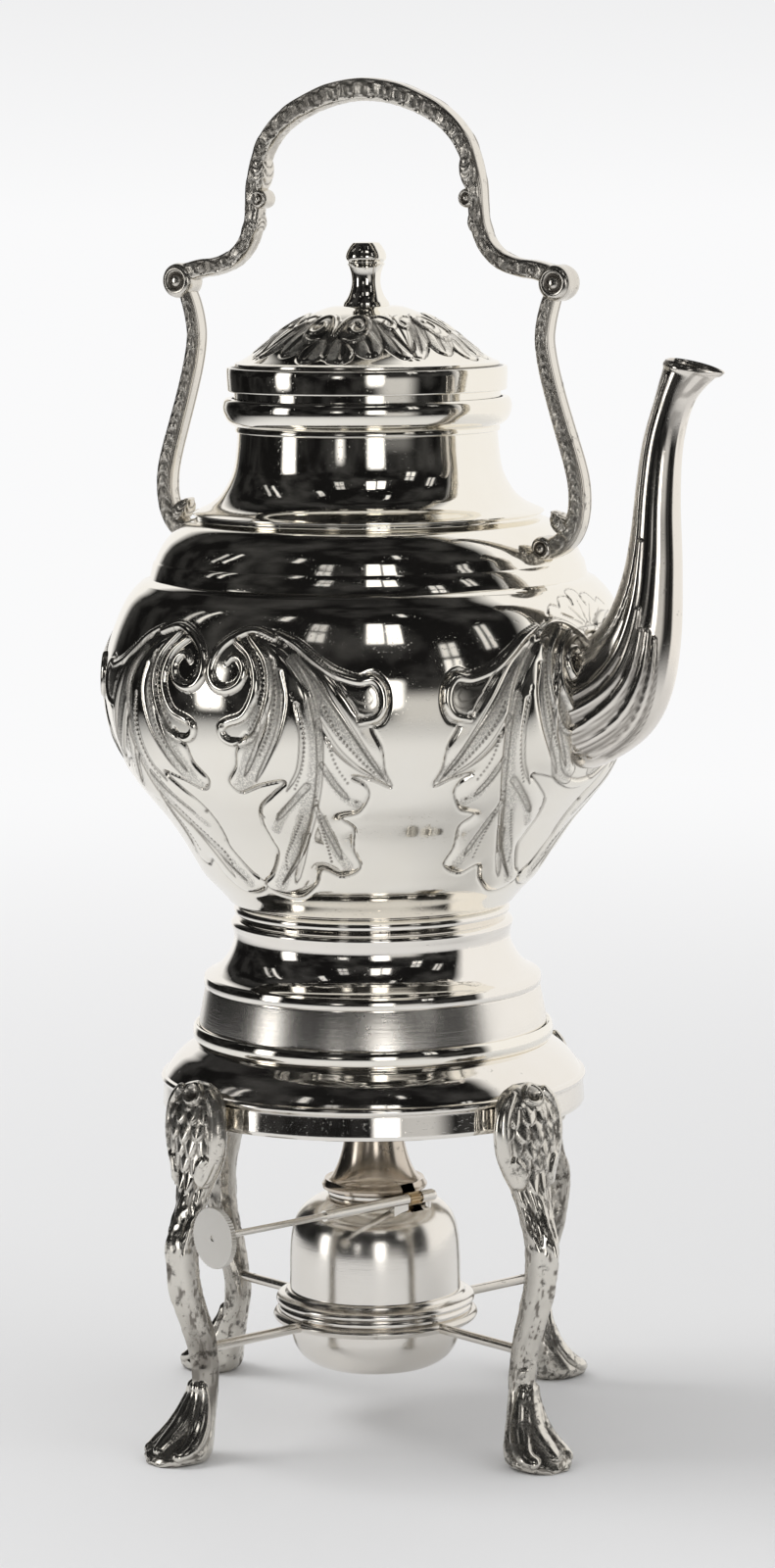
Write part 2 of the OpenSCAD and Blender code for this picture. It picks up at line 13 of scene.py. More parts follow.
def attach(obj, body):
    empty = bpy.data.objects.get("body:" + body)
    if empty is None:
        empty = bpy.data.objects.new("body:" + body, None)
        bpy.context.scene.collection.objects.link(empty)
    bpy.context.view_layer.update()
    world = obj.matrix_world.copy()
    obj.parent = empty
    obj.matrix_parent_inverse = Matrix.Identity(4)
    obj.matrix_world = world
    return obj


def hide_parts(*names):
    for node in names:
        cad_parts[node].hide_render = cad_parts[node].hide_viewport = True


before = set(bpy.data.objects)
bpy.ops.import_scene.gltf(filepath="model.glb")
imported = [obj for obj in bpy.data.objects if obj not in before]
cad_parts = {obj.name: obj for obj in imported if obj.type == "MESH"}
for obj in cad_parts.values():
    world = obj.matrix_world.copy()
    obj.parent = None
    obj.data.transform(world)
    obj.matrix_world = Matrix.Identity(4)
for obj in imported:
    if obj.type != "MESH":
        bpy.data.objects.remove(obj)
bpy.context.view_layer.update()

MM = 0.001
# Height of the kettle's seat above the floor, and the radii of its belly and of its straight neck.
SEAT = 121.0
BELLY_R = 78.5
NECK_R = 38.3


# ---------------------------------------------------------------- curves and fields


def smooth(points, steps):
    """A Catmull-Rom line through the points, with so many steps from each to the next."""
    p = np.array(points, float)
    q = np.vstack([p[:1], p, p[-1:]])
    t = np.arange(steps)[:, None] / steps
    parts = []
    for a, b, c, d in zip(q[:-3], q[1:-2], q[2:-1], q[3:]):
        parts.append(0.5 * (2 * b + (c - a) * t + (2 * a - 5 * b + 4 * c - d) * t**2 + (3 * b - a - 3 * c + d) * t**3))
    return np.vstack(parts + [p[-1:]])


def along(points):
    """Distance run along a line, at each of its points."""
    p = np.asarray(points, float)
    return np.concatenate([[0], np.cumsum(np.linalg.norm(np.diff(p, axis=0), axis=1))])


def resampled(points, step):
    """The line's points at even distances of at most the step."""
    p = np.asarray(points, float)
    run = along(p)
    at = np.linspace(0, run[-1], max(2, int(math.ceil(run[-1] / step)) + 1))
    return np.stack([np.interp(at, run, p[:, k]) for k in range(p.shape[1])], axis=1)


def offset_inwards(line, wall):
    """The line moved by the wall's thickness, away from the outer side of a spun profile."""
    run = np.gradient(np.asarray(line, float), axis=0)
    run /= np.linalg.norm(run, axis=1)[:, None]
    return line - np.stack([run[:, 1], -run[:, 0]], axis=1) * wall


def ease(x, low, high):
    """A smooth step from 0 at the low value to 1 at the high one."""
    t = np.clip((x - low) / (high - low), 0, 1)
    return t * t * (3 - 2 * t)


CELL_PRIMES = (668265263, 2246822519, 3266489917)
SEED_PRIME = 374761393
LOW_BITS = np.uint64(0xFFFFFFFF)


def hashed(cells, seed):
    """A repeatable number from 0 to 1 for each integer cell."""
    h = np.full(cells[0].shape, seed * SEED_PRIME & 0xFFFFFFFF, np.uint64)
    for c, prime in zip(cells, CELL_PRIMES):
        cell = c.astype(np.int64).astype(np.uint64) & LOW_BITS
        h = (h ^ cell * np.uint64(prime)) & LOW_BITS
        h = (h ^ (h >> np.uint64(15))) * np.uint64(CELL_PRIMES[1]) & LOW_BITS
    return ((h ^ (h >> np.uint64(13))) & np.uint64(0xFFFF)).astype(float) / 65535.0


def cellular(x, y, seed):
    """Distances to the nearest and second nearest of scattered points, one point to a unit cell."""
    cx, cy = np.floor(x), np.floor(y)
    first, second = np.full(x.shape, 9.0), np.full(x.shape, 9.0)
    for dx in (-1, 0, 1):
        for dy in (-1, 0, 1):
            px, py = cx + dx, cy + dy
            d = np.hypot(px + hashed((px, py), seed) - x, py + hashed((px, py), seed + 7) - y)
            nearer = d < first
            second = np.where(nearer, first, np.minimum(second, d))
            first = np.where(nearer, d, first)
    return first, second


def value_noise(x, y, seed):
    """Smooth noise from 0 to 1, with one value at each corner of the unit cells."""
    cx, cy = np.floor(x), np.floor(y)
    fx, fy = x - cx, y - cy
    fx, fy = fx * fx * (3 - 2 * fx), fy * fy * (3 - 2 * fy)
    a, b = hashed((cx, cy), seed), hashed((cx + 1, cy), seed)
    c, d = hashed((cx, cy + 1), seed), hashed((cx + 1, cy + 1), seed)
    return (a * (1 - fx) + b * fx) * (1 - fy) + (c * (1 - fx) + d * fx) * fy


def nearest(points, spots, at_once=64):
    """Distance from each point to the nearest of the spots, and that spot's number."""
    best, which = np.full(len(points), 1e9), np.zeros(len(points))
    for start in range(0, len(spots), at_once):
        d = np.linalg.norm(points[:, None, :] - spots[None, start:start + at_once, :], axis=2)
        k = d.argmin(axis=1)
        v = d[np.arange(len(points)), k]
        nearer = v < best
        best[nearer], which[nearer] = v[nearer], start + k[nearer]
    return best, which


def revolved(line, columns, lift=0.0):
    """The points of a line of radius and height, turned about the axis."""
    a = np.radians(np.arange(columns) * (360.0 / columns))[None, :]
    r, z = line[:, :1], line[:, 1:2] + lift
    return np.stack([r * np.cos(a), r * np.sin(a), z + 0 * a], axis=-1).reshape(-1, 3)


# ---------------------------------------------------------------- meshes


def placed(name, data):
    """An object with the data, linked into the scene."""
    ob = bpy.data.objects.new(name, data)
    bpy.context.scene.collection.objects.link(ob)
    return ob


def mesh_object(name, points, faces, fields=None, sharp=None):
    """A smooth mesh from points in millimetres and faces of three or four corners, with per-point number fields.

    The faces are one array, or a list with an array for each number of corners.
    """
    me = bpy.data.meshes.new(name)
    points = np.asarray(points, float) * MM
    groups = faces if isinstance(faces, list) else [faces]
    sizes = np.concatenate([np.full(len(group), group.shape[1], np.int32) for group in groups])
    loops = np.concatenate([group.ravel() for group in groups])
    me.vertices.add(len(points))
    me.vertices.foreach_set("co", points.ravel().astype(np.float32))
    me.loops.add(len(loops))
    me.loops.foreach_set("vertex_index", loops.astype(np.int32))
    me.polygons.add(len(sizes))
    me.polygons.foreach_set("loop_start", np.concatenate([[0], np.cumsum(sizes)[:-1]]).astype(np.int32))
    me.update(calc_edges=True)
    me.validate()
    me.polygons.foreach_set("use_smooth", np.ones(len(me.polygons), bool))
    for key, values in (fields or {}).items():
        me.attributes.new(key, "FLOAT", "POINT").data.foreach_set("value", np.asarray(values, np.float32).ravel())
    if sharp:
        me.set_sharp_from_angle(angle=math.radians(sharp))
    return placed(name, me)


def grid_faces(rows, columns, closed_rows=False):
    """Quads between rows of points that go round, and if asked from the last row back to the first."""
    i = np.arange(rows if closed_rows else rows - 1)[:, None]
    k = np.arange(columns)[None, :]
    a, b = i * columns + k, i * columns + (k + 1) % columns
    c, d = ((i + 1) % rows) * columns + k, ((i + 1) % rows) * columns + (k + 1) % columns
    return np.stack([a, b, d, c], axis=-1).reshape(-1, 4)


def fitted(ob, body, nodes, material):
    """Gives a piece its material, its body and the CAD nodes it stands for."""
    ob.data.materials.clear()
    ob.data.materials.append(material)
    if nodes:
        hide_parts(*nodes)
    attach(ob, body)
    return ob


def lathe(name, outline, columns=256, sharp=32, lift=0.0, satin=None):
    """A solid of revolution from a closed outline of radius and height. A point on the axis becomes a pole.

    Its matte field is 1 between the two heights given as satin.
    """
    p = np.asarray(outline, float)
    keep = np.ones(len(p), bool)
    keep[1:] = np.linalg.norm(np.diff(p, axis=0), axis=1) > 1e-4
    p = p[keep]
    turn = 2 * math.pi * np.arange(columns) / columns
    points, index = [], []
    for r, z in p:
        if r < 1e-6:
            index.append((len(points), True))
            points.append((0, 0, z + lift))
        else:
            index.append((len(points), False))
            points.extend(zip(r * np.cos(turn), r * np.sin(turn), np.full(columns, z + lift)))
    quads, fans = [], []
    k = np.arange(columns)
    n = (k + 1) % columns
    for (a, a_pole), (b, b_pole) in zip(index, index[1:] + index[:1]):
        if a_pole and b_pole:
            continue
        if a_pole:
            fans.append(np.stack([np.full(columns, a), b + n, b + k], axis=1))
        elif b_pole:
            fans.append(np.stack([a + k, a + n, np.full(columns, b)], axis=1))
        else:
            quads.append(np.stack([a + k, a + n, b + n, b + k], axis=1))
    faces = [np.vstack(quads)] + ([np.vstack(fans)] if fans else [])
    fields = {}
    if satin:
        height = np.array(points)[:, 2] - lift
        fields["matte"] = (height > satin[0]) & (height < satin[1])
    return mesh_object(name, points, faces, fields, sharp=sharp)


# ---------------------------------------------------------------- materials


def node_tree(name):
    m = bpy.data.materials.new(name)
    m.use_nodes = True
    nt = m.node_tree
    nt.nodes.clear()
    return m, nt


def add(nt, kind, **values):
    """A shader node with its properties set, and its inputs by name."""
    n = nt.nodes.new(kind)
    for key, value in values.items():
        if hasattr(n, key):
            setattr(n, key, value)
        else:
            n.inputs[key.replace("_", " ")].default_value = value
    return n


def ramp(nt, source, stops):
    """A ramp with a grey level or a colour at each of its stops."""
    n = nt.nodes.new("ShaderNodeValToRGB")
    while len(n.color_ramp.elements) < len(stops):
        n.color_ramp.elements.new(0.5)
    for e, (at, level) in zip(n.color_ramp.elements, stops):
        e.position = at
        e.color = (level, level, level, 1) if isinstance(level, (int, float)) else (*level, 1)
    nt.links.new(source, n.inputs["Fac"])
    return n.outputs["Color"]


def maths(nt, how, a, b, clamp=False):
    n = nt.nodes.new("ShaderNodeMath")
    n.operation, n.use_clamp = how, clamp
    for socket, value in zip(n.inputs, (a, b)):
        if isinstance(value, (int, float)):
            socket.default_value = value
        else:
            nt.links.new(value, socket)
    return n.outputs[0]


def blended(nt, fac, a, b):
    n = nt.nodes.new("ShaderNodeMix")
    n.data_type = "RGBA"
    for key, value in (("Factor", fac), ("A", a), ("B", b)):
        socket = next(s for s in n.inputs if s.name == key and s.enabled)
        if isinstance(value, (int, float)):
            socket.default_value = value
        elif isinstance(value, tuple):
            socket.default_value = (*value, 1)
        else:
            nt.links.new(value, socket)
    return next(s for s in n.outputs if s.enabled)


def added(nt, value, by, times):
    """The value with a product added to it."""
    return maths(nt, "ADD", value, maths(nt, "MULTIPLY", by, times))


def noise(nt, place, kind="ShaderNodeTexNoise", **values):
    """The strength of a noise at each place."""
    n = add(nt, kind, **values)
    nt.links.new(place, n.inputs["Vector"])
    return n.outputs["Fac"]


def mapped(nt, place, **values):
    """The place turned and stretched, for a noise that runs in lines."""
    n = add(nt, "ShaderNodeMapping", **values)
    nt.links.new(place, n.inputs["Vector"])
    return n.outputs[0]


def field(nt, name):
    """A mesh's number field."""
    return add(nt, "ShaderNodeAttribute", attribute_name=name).outputs["Fac"]


def shaded(name, **values):
    """A material with a principled shader: the material, its tree, the shader and the place on the object."""
    m, nt = node_tree(name)
    out = add(nt, "ShaderNodeOutputMaterial")
    bsdf = add(nt, "ShaderNodeBsdfPrincipled", **values)
    nt.links.new(bsdf.outputs[0], out.inputs[0])
    return m, nt, bsdf, add(nt, "ShaderNodeTexCoord").outputs["Object"]


def bumped(nt, bsdf, height, **values):
    """Gives the shader a bump of the height."""
    bump = add(nt, "ShaderNodeBump", **values)
    nt.links.new(height, bump.inputs["Height"])
    nt.links.new(bump.outputs[0], bsdf.inputs["Normal"])


# Scale of the tarnish specks, depth of the wiping scratches, and the colour of the patina in chased hollows, which also
# paints the shade that the groove field marks on a few pieces.
SPECK_SCALE, SCRATCH_DEPTH, PATINA_AND_SHADE = 260.0, 0.15, (0.10, 0.085, 0.07)


def silver(name, colour, rough, haze=0.04, specks=0.0, chased=False, brushed=False, satin=False):
    """Polished silver: faint clouding, fine wiping scratches, tarnish specks, and where chased the dark of the groove
    field: patina in hollows, and painted shade on a few pieces.

    Brushed silver has turning lines all over, and satin silver where the mesh's matte field says so.
    """
    m, nt, bsdf, place = shaded(name, Metallic=1.0)
    hazy = ramp(nt, noise(nt, place, Scale=38.0, Detail=5.0, Roughness=0.6), [(0.38, 0.0), (0.72, 1.0)])
    roughness = added(nt, rough, hazy, haze)
    clouded = tuple(c * f for c, f in zip(colour, (0.95, 0.925, 0.88)))
    base = blended(nt, maths(nt, "MULTIPLY", hazy, 0.35), colour, clouded)
    height = maths(nt, "MULTIPLY", noise(nt, place, Scale=1500.0, Detail=2.0, Roughness=0.5), 0.02)
    if specks:
        spots = noise(nt, place, Scale=SPECK_SCALE, Detail=6.0, Roughness=0.75)
        spread = noise(nt, place, Scale=SPECK_SCALE / 7, Detail=2.0)
        edge = 1.02 - specks
        mask = ramp(nt, maths(nt, "SUBTRACT", added(nt, spots, spread, 0.5), edge - 0.5), [(0.44, 0.0), (0.54, 1.0)])
        base = blended(nt, mask, base, tuple(0.28 * c for c in colour))
        roughness = added(nt, roughness, mask, 0.3)
        height = added(nt, height, mask, -0.25)
    if chased:
        dark, matte = field(nt, "groove"), field(nt, "matte")
        dotted = ramp(nt, noise(nt, place, Scale=1900.0, Detail=3.0, Roughness=0.7), [(0.46, 1.0), (0.56, 0.0)])
        stipple = maths(nt, "MULTIPLY", matte, dotted)
        base = blended(nt, maths(nt, "MULTIPLY", stipple, 0.65), base, tuple(0.46 * c for c in colour))
        # The groove field turns the base to the patina colour: patina in hollows, and painted shade where a piece's
        # groove field carries it.
        base = blended(nt, maths(nt, "MULTIPLY", dark, 0.9, clamp=True), base, PATINA_AND_SHADE)
        roughness = added(nt, added(nt, roughness, matte, 0.24), dark, 0.25)
        height = added(nt, height, stipple, -0.7)
    if brushed or satin:
        amount = field(nt, "matte") if satin else 0.35
        lines = noise(nt, mapped(nt, place, Scale=(40.0, 40.0, 2600.0)), Scale=1.0, Detail=3.0, Roughness=0.7)
        height = added(nt, height, maths(nt, "MULTIPLY", lines, 1.4), amount)
        roughness = added(nt, roughness, amount, 0.2)
    wiped = mapped(nt, place, Rotation=(0.4, 0.9, 0.3), Scale=(1400.0, 90.0, 1400.0))
    mark = ramp(nt, noise(nt, wiped, Scale=1.0, Detail=1.0), [(0.66, 0.0), (0.72, 1.0)])
    bumped(nt, bsdf, added(nt, height, mark, -SCRATCH_DEPTH), Strength=0.35, Distance=0.0001)
    nt.links.new(base, bsdf.inputs["Base Color"])
    nt.links.new(roughness, bsdf.inputs["Roughness"])
    return m


SHEET = silver("silver_sheet", (0.94, 0.91, 0.84), 0.045)
CHASED = silver("silver_chased", (0.94, 0.91, 0.84), 0.05, chased=True)
CAST = silver("silver_cast", (0.75, 0.72, 0.66), 0.13, haze=0.07, specks=0.17, chased=True)
HAND = silver("silver_handle", (0.82, 0.785, 0.72), 0.12, haze=0.12, specks=0.10, chased=True)
SPOUT = silver("silver_spout", (0.86, 0.82, 0.76), 0.07, haze=0.08, specks=0.05, chased=True)
BURNER = silver("silver_burner", (0.86, 0.83, 0.78), 0.08, haze=0.07, brushed=True)
THUMB = silver("silver_thumb", (0.70, 0.68, 0.64), 0.30, haze=0.10, specks=0.06)
PLATE = silver("silver_plate", (0.89, 0.86, 0.81), 0.05, haze=0.06, specks=0.03)
FOOT_SILVER = silver("silver_foot", (0.91, 0.88, 0.83), 0.045, satin=True)
HEATED = silver("silver_heated", (0.66, 0.59, 0.51), 0.14, haze=0.12, specks=0.06)
RODS = silver("silver_rods", (0.78, 0.745, 0.69), 0.16, haze=0.12, specks=0.10)
BRASS = silver("bare_brass", (0.66, 0.52, 0.33), 0.28, haze=0.15, specks=0.08)


def cotton():
    """The wick's woven cotton."""
    m, nt, bsdf, place = shaded("wick_cotton", Roughness=0.95)
    weave = noise(nt, place, "ShaderNodeTexWave", Scale=420.0, Distortion=6.0, Detail=2.0)
    nt.links.new(blended(nt, weave, (0.60, 0.55, 0.45), (0.86, 0.82, 0.72)), bsdf.inputs["Base Color"])
    bumped(nt, bsdf, weave, Strength=0.6, Distance=0.0004)
    return m


COTTON = cotton()

# ---------------------------------------------------------------- chased ornament

# Each curve is a list of (degrees from the panel's middle, height above the seat). They draw one half of a panel.
LEAF_EDGE = [(9.5, 95.2), (6.9, 91.2), (5.8, 85.8), (2.9, 80.8), (5.5, 77.7), (11.2, 80.2), (17.0, 81.6), (13.6, 77.6),
             (9.6, 73.3), (7.9, 67.9), (8.3, 62.6), (8.7, 58.5), (4.5, 52.0), (-0.4, 48.2), (4.8, 45.0), (12.2, 44.7),
             (18.7, 48.9), (21.6, 53.7), (27.3, 51.7), (33.1, 54.4), (31.6, 60.0), (32.1, 66.9), (29.4, 70.4),
             (33.6, 72.2), (36.1, 77.4), (35.1, 81.4), (32.6, 83.6), (36.9, 82.6), (41.1, 80.3), (39.6, 85.2),
             (38.9, 92.0), (37.0, 97.7)]
SIDE_SCROLL = [(37.0, 97.7), (39.0, 99.4), (40.3, 103.6), (39.9, 109.4), (37.3, 113.2), (33.9, 112.2), (28.4, 114.4),
               (24.1, 118.4), (20.2, 122.0), (16.2, 124.3)]
LEAF_CLOSE = [(12.5, 124.4), (14.0, 117.0), (15.4, 109.1), (14.2, 101.6), (11.9, 96.4)]
RIDGES = [
    # half width, height, curve
    (1.5, 1.0, [(15.7, 122.4), (10.8, 124.4), (6.9, 123.2), (3.2, 120.0), (1.4, 116.3), (1.0, 112.1), (2.6, 108.8),
                (5.4, 107.8), (8.2, 109.5), (9.3, 113.2), (8.3, 116.2), (6.3, 117.0), (5.0, 115.4)]),
    (1.3, 0.9, [(6.6, 121.2), (10.4, 117.4), (12.2, 111.2), (11.6, 105.4), (9.2, 100.4), (5.4, 98.4), (3.7, 96.6),
                (4.3, 94.0), (6.7, 92.8), (10.2, 93.8), (11.9, 95.6)]),
    (1.1, 0.7, [(9.6, 122.7), (14.1, 116.6), (15.4, 109.1), (14.2, 101.6), (11.9, 95.6)]),
    (1.6, 1.0, [(16.2, 123.6), (20.6, 121.0), (25.0, 116.8), (29.2, 113.3), (33.9, 111.2), (37.2, 111.4), (39.0, 108.4),
                (39.2, 103.8), (37.6, 100.6), (34.6, 99.6)]),
    (0.8, 0.5, [(36.6, 108.6), (37.8, 106.2), (36.6, 103.8), (33.8, 104.6), (31.9, 106.8)]),
]
VEINS = [
    # half width at the root, half width at the tip, depth, curve
    (1.3, 0.5, 0.75, [(12.8, 123.1), (19.1, 117.7), (23.7, 109.4), (25.6, 99.4), (25.9, 89.9), (24.6, 79.1),
                      (21.4, 68.7), (15.4, 57.9), (7.2, 49.2)]),
    (1.3, 0.4, 0.6, [(18.9, 120.0), (25.0, 113.1), (29.1, 105.0), (33.0, 96.7), (36.9, 88.2), (40.1, 81.6)]),
    (1.0, 0.5, 0.5, [(25.9, 99.4), (29.5, 91.9), (33.4, 86.8), (37.2, 83.4)]),
    (0.9, 0.7, 0.5, [(26.2, 87.1), (28.6, 81.6), (31.4, 77.2)]),
    (0.9, 0.7, 0.5, [(23.6, 73.9), (25.6, 66.4), (28.0, 58.2)]),
    (1.0, 0.7, 0.5, [(22.4, 81.0), (17.8, 75.4), (13.0, 70.2)]),
    (1.1, 0.8, 0.55, [(19.3, 65.2), (15.8, 56.8), (12.2, 50.0)]),
    (1.1, 0.5, 0.55, [(17.4, 113.2), (18.6, 105.5), (17.1, 96.2), (14.0, 88.4), (10.4, 81.6)]),
    (0.9, 0.6, 0.5, [(13.9, 104.0), (13.9, 97.6), (11.4, 90.2), (8.0, 83.4)]),
    (0.9, 0.4, 0.45, [(22.7, 119.0), (27.6, 113.4), (31.6, 106.8), (34.4, 100.4)]),
    (0.8, 0.4, 0.4, [(21.4, 103.9), (22.2, 95.4), (20.9, 85.9), (17.4, 79.2)]),
]
DOT_ROWS = [
    [(10.9, 119.5), (13.7, 110.4), (13.0, 102.6), (10.8, 96.9)],
    [(15.5, 117.0), (16.8, 107.5), (15.4, 97.2), (12.4, 89.4)],
    [(20.2, 108.0), (22.6, 97.4), (22.0, 87.4), (19.4, 79.8)],
    [(23.9, 78.0), (24.1, 70.0), (24.5, 62.6), (25.0, 56.4)],
    [(20.0, 72.0), (16.4, 65.4), (11.4, 58.0), (10.4, 53.4)],
    [(26.9, 104.6), (29.4, 97.4), (33.6, 90.0), (37.4, 84.8)],
    [(27.6, 95.0), (29.2, 87.2), (31.9, 81.0)],
]
MATTE = [
    (2.3, [(20.4, 116.6), (25.4, 108.8), (29.3, 100.0), (34.2, 91.4), (38.4, 84.4)]),
    (2.0, [(15.4, 115.6), (17.0, 106.5), (16.0, 97.2), (12.6, 88.4), (8.6, 81.6), (5.4, 79.8)]),
    (2.0, [(11.9, 102.6), (11.4, 95.4), (9.4, 88.2), (6.6, 81.6)]),
    (2.4, [(24.4, 104.6), (25.2, 92.4), (23.4, 80.4), (18.4, 67.2), (12.0, 56.2), (6.4, 48.9)]),
    (1.8, [(27.3, 84.6), (30.4, 78.2), (33.4, 75.6)]),
    (1.9, [(24.6, 70.6), (26.6, 61.4), (29.6, 55.8)]),
    (1.7, [(20.6, 77.6), (15.6, 72.6), (11.4, 66.8)]),
]
PUNCHES = [(34.5, 100.6, 0.9), (17.0, 81.4, 0.9), (4.6, 97.6, 0.6), (9.0, 70.4, 0.6), (33.2, 76.2, 0.5)]
# The rest is drawn whole, and only over the spout.
PALMETTE = [
    [(-13.4, 127.0), (-11.4, 129.2), (-8.6, 128.4)],
    [(-8.6, 128.2), (-6.6, 131.0), (-2.6, 130.6), (-2.9, 128.0)],
    [(-3.0, 128.6), (-2.2, 132.2), (2.2, 132.2), (3.0, 128.6)],
    [(2.9, 128.0), (2.6, 130.6), (6.6, 131.0), (8.6, 128.2)],
    [(8.6, 128.4), (11.4, 129.2), (13.4, 127.0)],
]
PALMETTE_VEINS = [[(0, 123.6), (0, 129.6)], [(-1.2, 123.6), (-5.2, 128.6)], [(1.2, 123.6), (5.2, 128.6)],
                  [(-2.4, 123.2), (-9.0, 126.6)], [(2.4, 123.2), (9.0, 126.6)]]
CARTOUCHE = [(-14.8, 125.2), (-9.0, 124.4), (-3.0, 121.2), (-1.4, 122.6), (0, 123.4), (1.4, 122.6), (3.0, 121.2),
             (9.0, 124.4), (14.8, 125.2)]
CARTOUCHE_RIM = [(0, 121.4), (-7.0, 120.2), (-12.4, 115.6), (-15.0, 108.2), (-15.8, 99.0), (-15.0, 89.4),
                 (-11.6, 81.6), (-6.0, 77.8), (0, 76.6), (6.0, 77.8), (11.6, 81.6), (15.0, 89.4), (15.8, 99.0),
                 (15.0, 108.2), (12.4, 115.6), (7.0, 120.2), (0, 121.4)]


# Half width in millimetres from which a chased hollow also has a thin tooled line along each side.
TOOLED_EDGES_FROM = 0.8


class Surface:
    """A spun surface as a grid of rows by columns, on which ornament is raised, cut, dotted and matted."""

    def __init__(self, profile, columns):
        self.line = np.asarray(profile, float)
        self.columns = columns
        self.step = 360.0 / columns
        shape = (len(self.line), columns)
        self.relief, self.groove, self.matte = np.zeros(shape), np.zeros(shape), np.zeros(shape)
        order = np.argsort(self.line[:, 1])
        self.by_height = self.line[order]

    def radius_at(self, height):
        return np.interp(height, self.by_height[:, 1], self.by_height[:, 0])

    def spatial(self, degrees, height, radius=None):
        r = self.radius_at(height) if radius is None else radius
        a = np.radians(degrees)
        return np.stack([r * np.cos(a), r * np.sin(a), height + 0 * a], axis=-1)

    def window(self, curve, margin):
        """Rows and columns near a curve, the grid's points there, and the columns' degrees."""
        lo, hi = curve[:, 1].min() - margin, curve[:, 1].max() + margin
        rows = np.nonzero((self.line[:, 1] > lo) & (self.line[:, 1] < hi))[0]
        reach = math.degrees(margin / max(12.0, self.radius_at(curve[:, 1]).min()))
        c0 = int(math.floor((curve[:, 0].min() - reach) / self.step))
        c1 = int(math.ceil((curve[:, 0].max() + reach) / self.step))
        columns = np.arange(c0, c1 + 1)
        degrees = columns * self.step
        points = self.spatial(degrees[None, :], self.line[rows, 1][:, None], self.line[rows, 0][:, None])
        return rows, columns % self.columns, points, degrees

    def near(self, curve, margin):
        """Distance from each grid point near the curve to it, and how far along it that is, from 0 to 1."""
        line = smooth(curve, 8) if len(curve) > 2 else np.array(curve, float)
        dense = resampled(self.spatial(line[:, 0], line[:, 1]), 0.35)
        rows, columns, points, _ = self.window(line, margin)
        distance, which = nearest(points.reshape(-1, 3), dense)
        shape = points.shape[:2]
        return np.ix_(rows, columns), distance.reshape(shape), (which / max(1, len(dense) - 1)).reshape(shape)

    def ridge(self, curve, half, height):
        at, d, t = self.near(curve, half * 2)
        w = half * (0.55 + 0.45 * np.sin(np.pi * np.clip(t * 0.9 + 0.05, 0, 1)))
        body = np.sqrt(np.clip(1 - (d / w) ** 2, 0, 1)) * height
        self.relief[at] = np.maximum(self.relief[at], body)
        self.groove[at] = np.maximum(self.groove[at], 0.75 * np.exp(-((d - w - 0.15) / 0.28) ** 2))

    def cut(self, curve, half, depth, dark=1.0, tip=None):
        at, d, t = self.near(curve, half * 3 + 1)
        w = half if tip is None else half + (tip - half) * t
        w = w * np.clip(0.25 + 6 * (1 - t), 0, 1)
        self.relief[at] -= depth * np.exp(-(d / w) ** 2)
        self.groove[at] = np.maximum(self.groove[at], dark * np.exp(-(d / (0.55 * w)) ** 2))
        if half >= TOOLED_EDGES_FROM:
            self.groove[at] = np.maximum(self.groove[at], 0.8 * np.exp(-((d - w) / 0.24) ** 2))

    def soften(self, curve, half):
        at, d, _ = self.near(curve, half * 1.5)
        self.matte[at] = np.maximum(self.matte[at], 1 - ease(d, half * 0.55, half * 1.1))

    def punch(self, degrees, height, size, depth=0.35):
        at, d, _ = self.near(np.array([(degrees, height), (degrees, height + 0.01)]), size * 3)
        self.relief[at] -= depth * np.exp(-(d / size) ** 4)
        self.groove[at] = np.maximum(self.groove[at], 0.9 * np.exp(-(d / size) ** 4))

    def dots(self, curve, gap=1.4, size=0.42):
        line = smooth(curve, 8)
        run = along(self.spatial(line[:, 0], line[:, 1]))
        for s in np.arange(gap / 2, run[-1], gap):
            self.punch(np.interp(s, run, line[:, 0]), np.interp(s, run, line[:, 1]), size, 0.2)

    def raise_inside(self, edge, height, rise):
        """Lifts the surface inside a closed curve, over a rounded border of the given width."""
        line = smooth(list(edge) + [edge[0]], 6)
        rows, columns, points, degrees = self.window(line, 1.0)
        at = np.ix_(rows, columns)
        x, y = np.meshgrid(degrees, self.line[rows, 1])
        inside = np.zeros(x.shape, bool)
        for (x0, y0), (x1, y1) in zip(line[:-1], line[1:]):
            if y0 != y1:
                crosses = ((y0 > y) != (y1 > y)) & (x < (x1 - x0) * (y - y0) / (y1 - y0) + x0)
                inside ^= crosses
        spots = resampled(self.spatial(line[:, 0], line[:, 1]), 0.7)
        d, _ = nearest(points.reshape(-1, 3), spots)
        lift = np.where(inside, height * np.sqrt(ease(d.reshape(x.shape), 0.0, rise)), 0)
        self.relief[at] = np.maximum(self.relief[at], lift)

    def fields(self, groove, matte):
        """The groove and matte fields, with those of the points that follow the grid's."""
        return {"groove": np.append(self.groove, groove), "matte": np.append(self.matte, matte)}

    def points(self, lift):
        """The grid's points with the relief put on along the surface's normal."""
        run = np.gradient(self.line, axis=0)
        run /= np.linalg.norm(run, axis=1)[:, None]
        r = self.line[:, 0][:, None] + self.relief * run[:, 1][:, None]
        z = self.line[:, 1][:, None] - self.relief * run[:, 0][:, None]
        a = np.radians(np.arange(self.columns) * self.step)[None, :]
        return np.stack([r * np.cos(a), r * np.sin(a), z + lift], axis=-1)


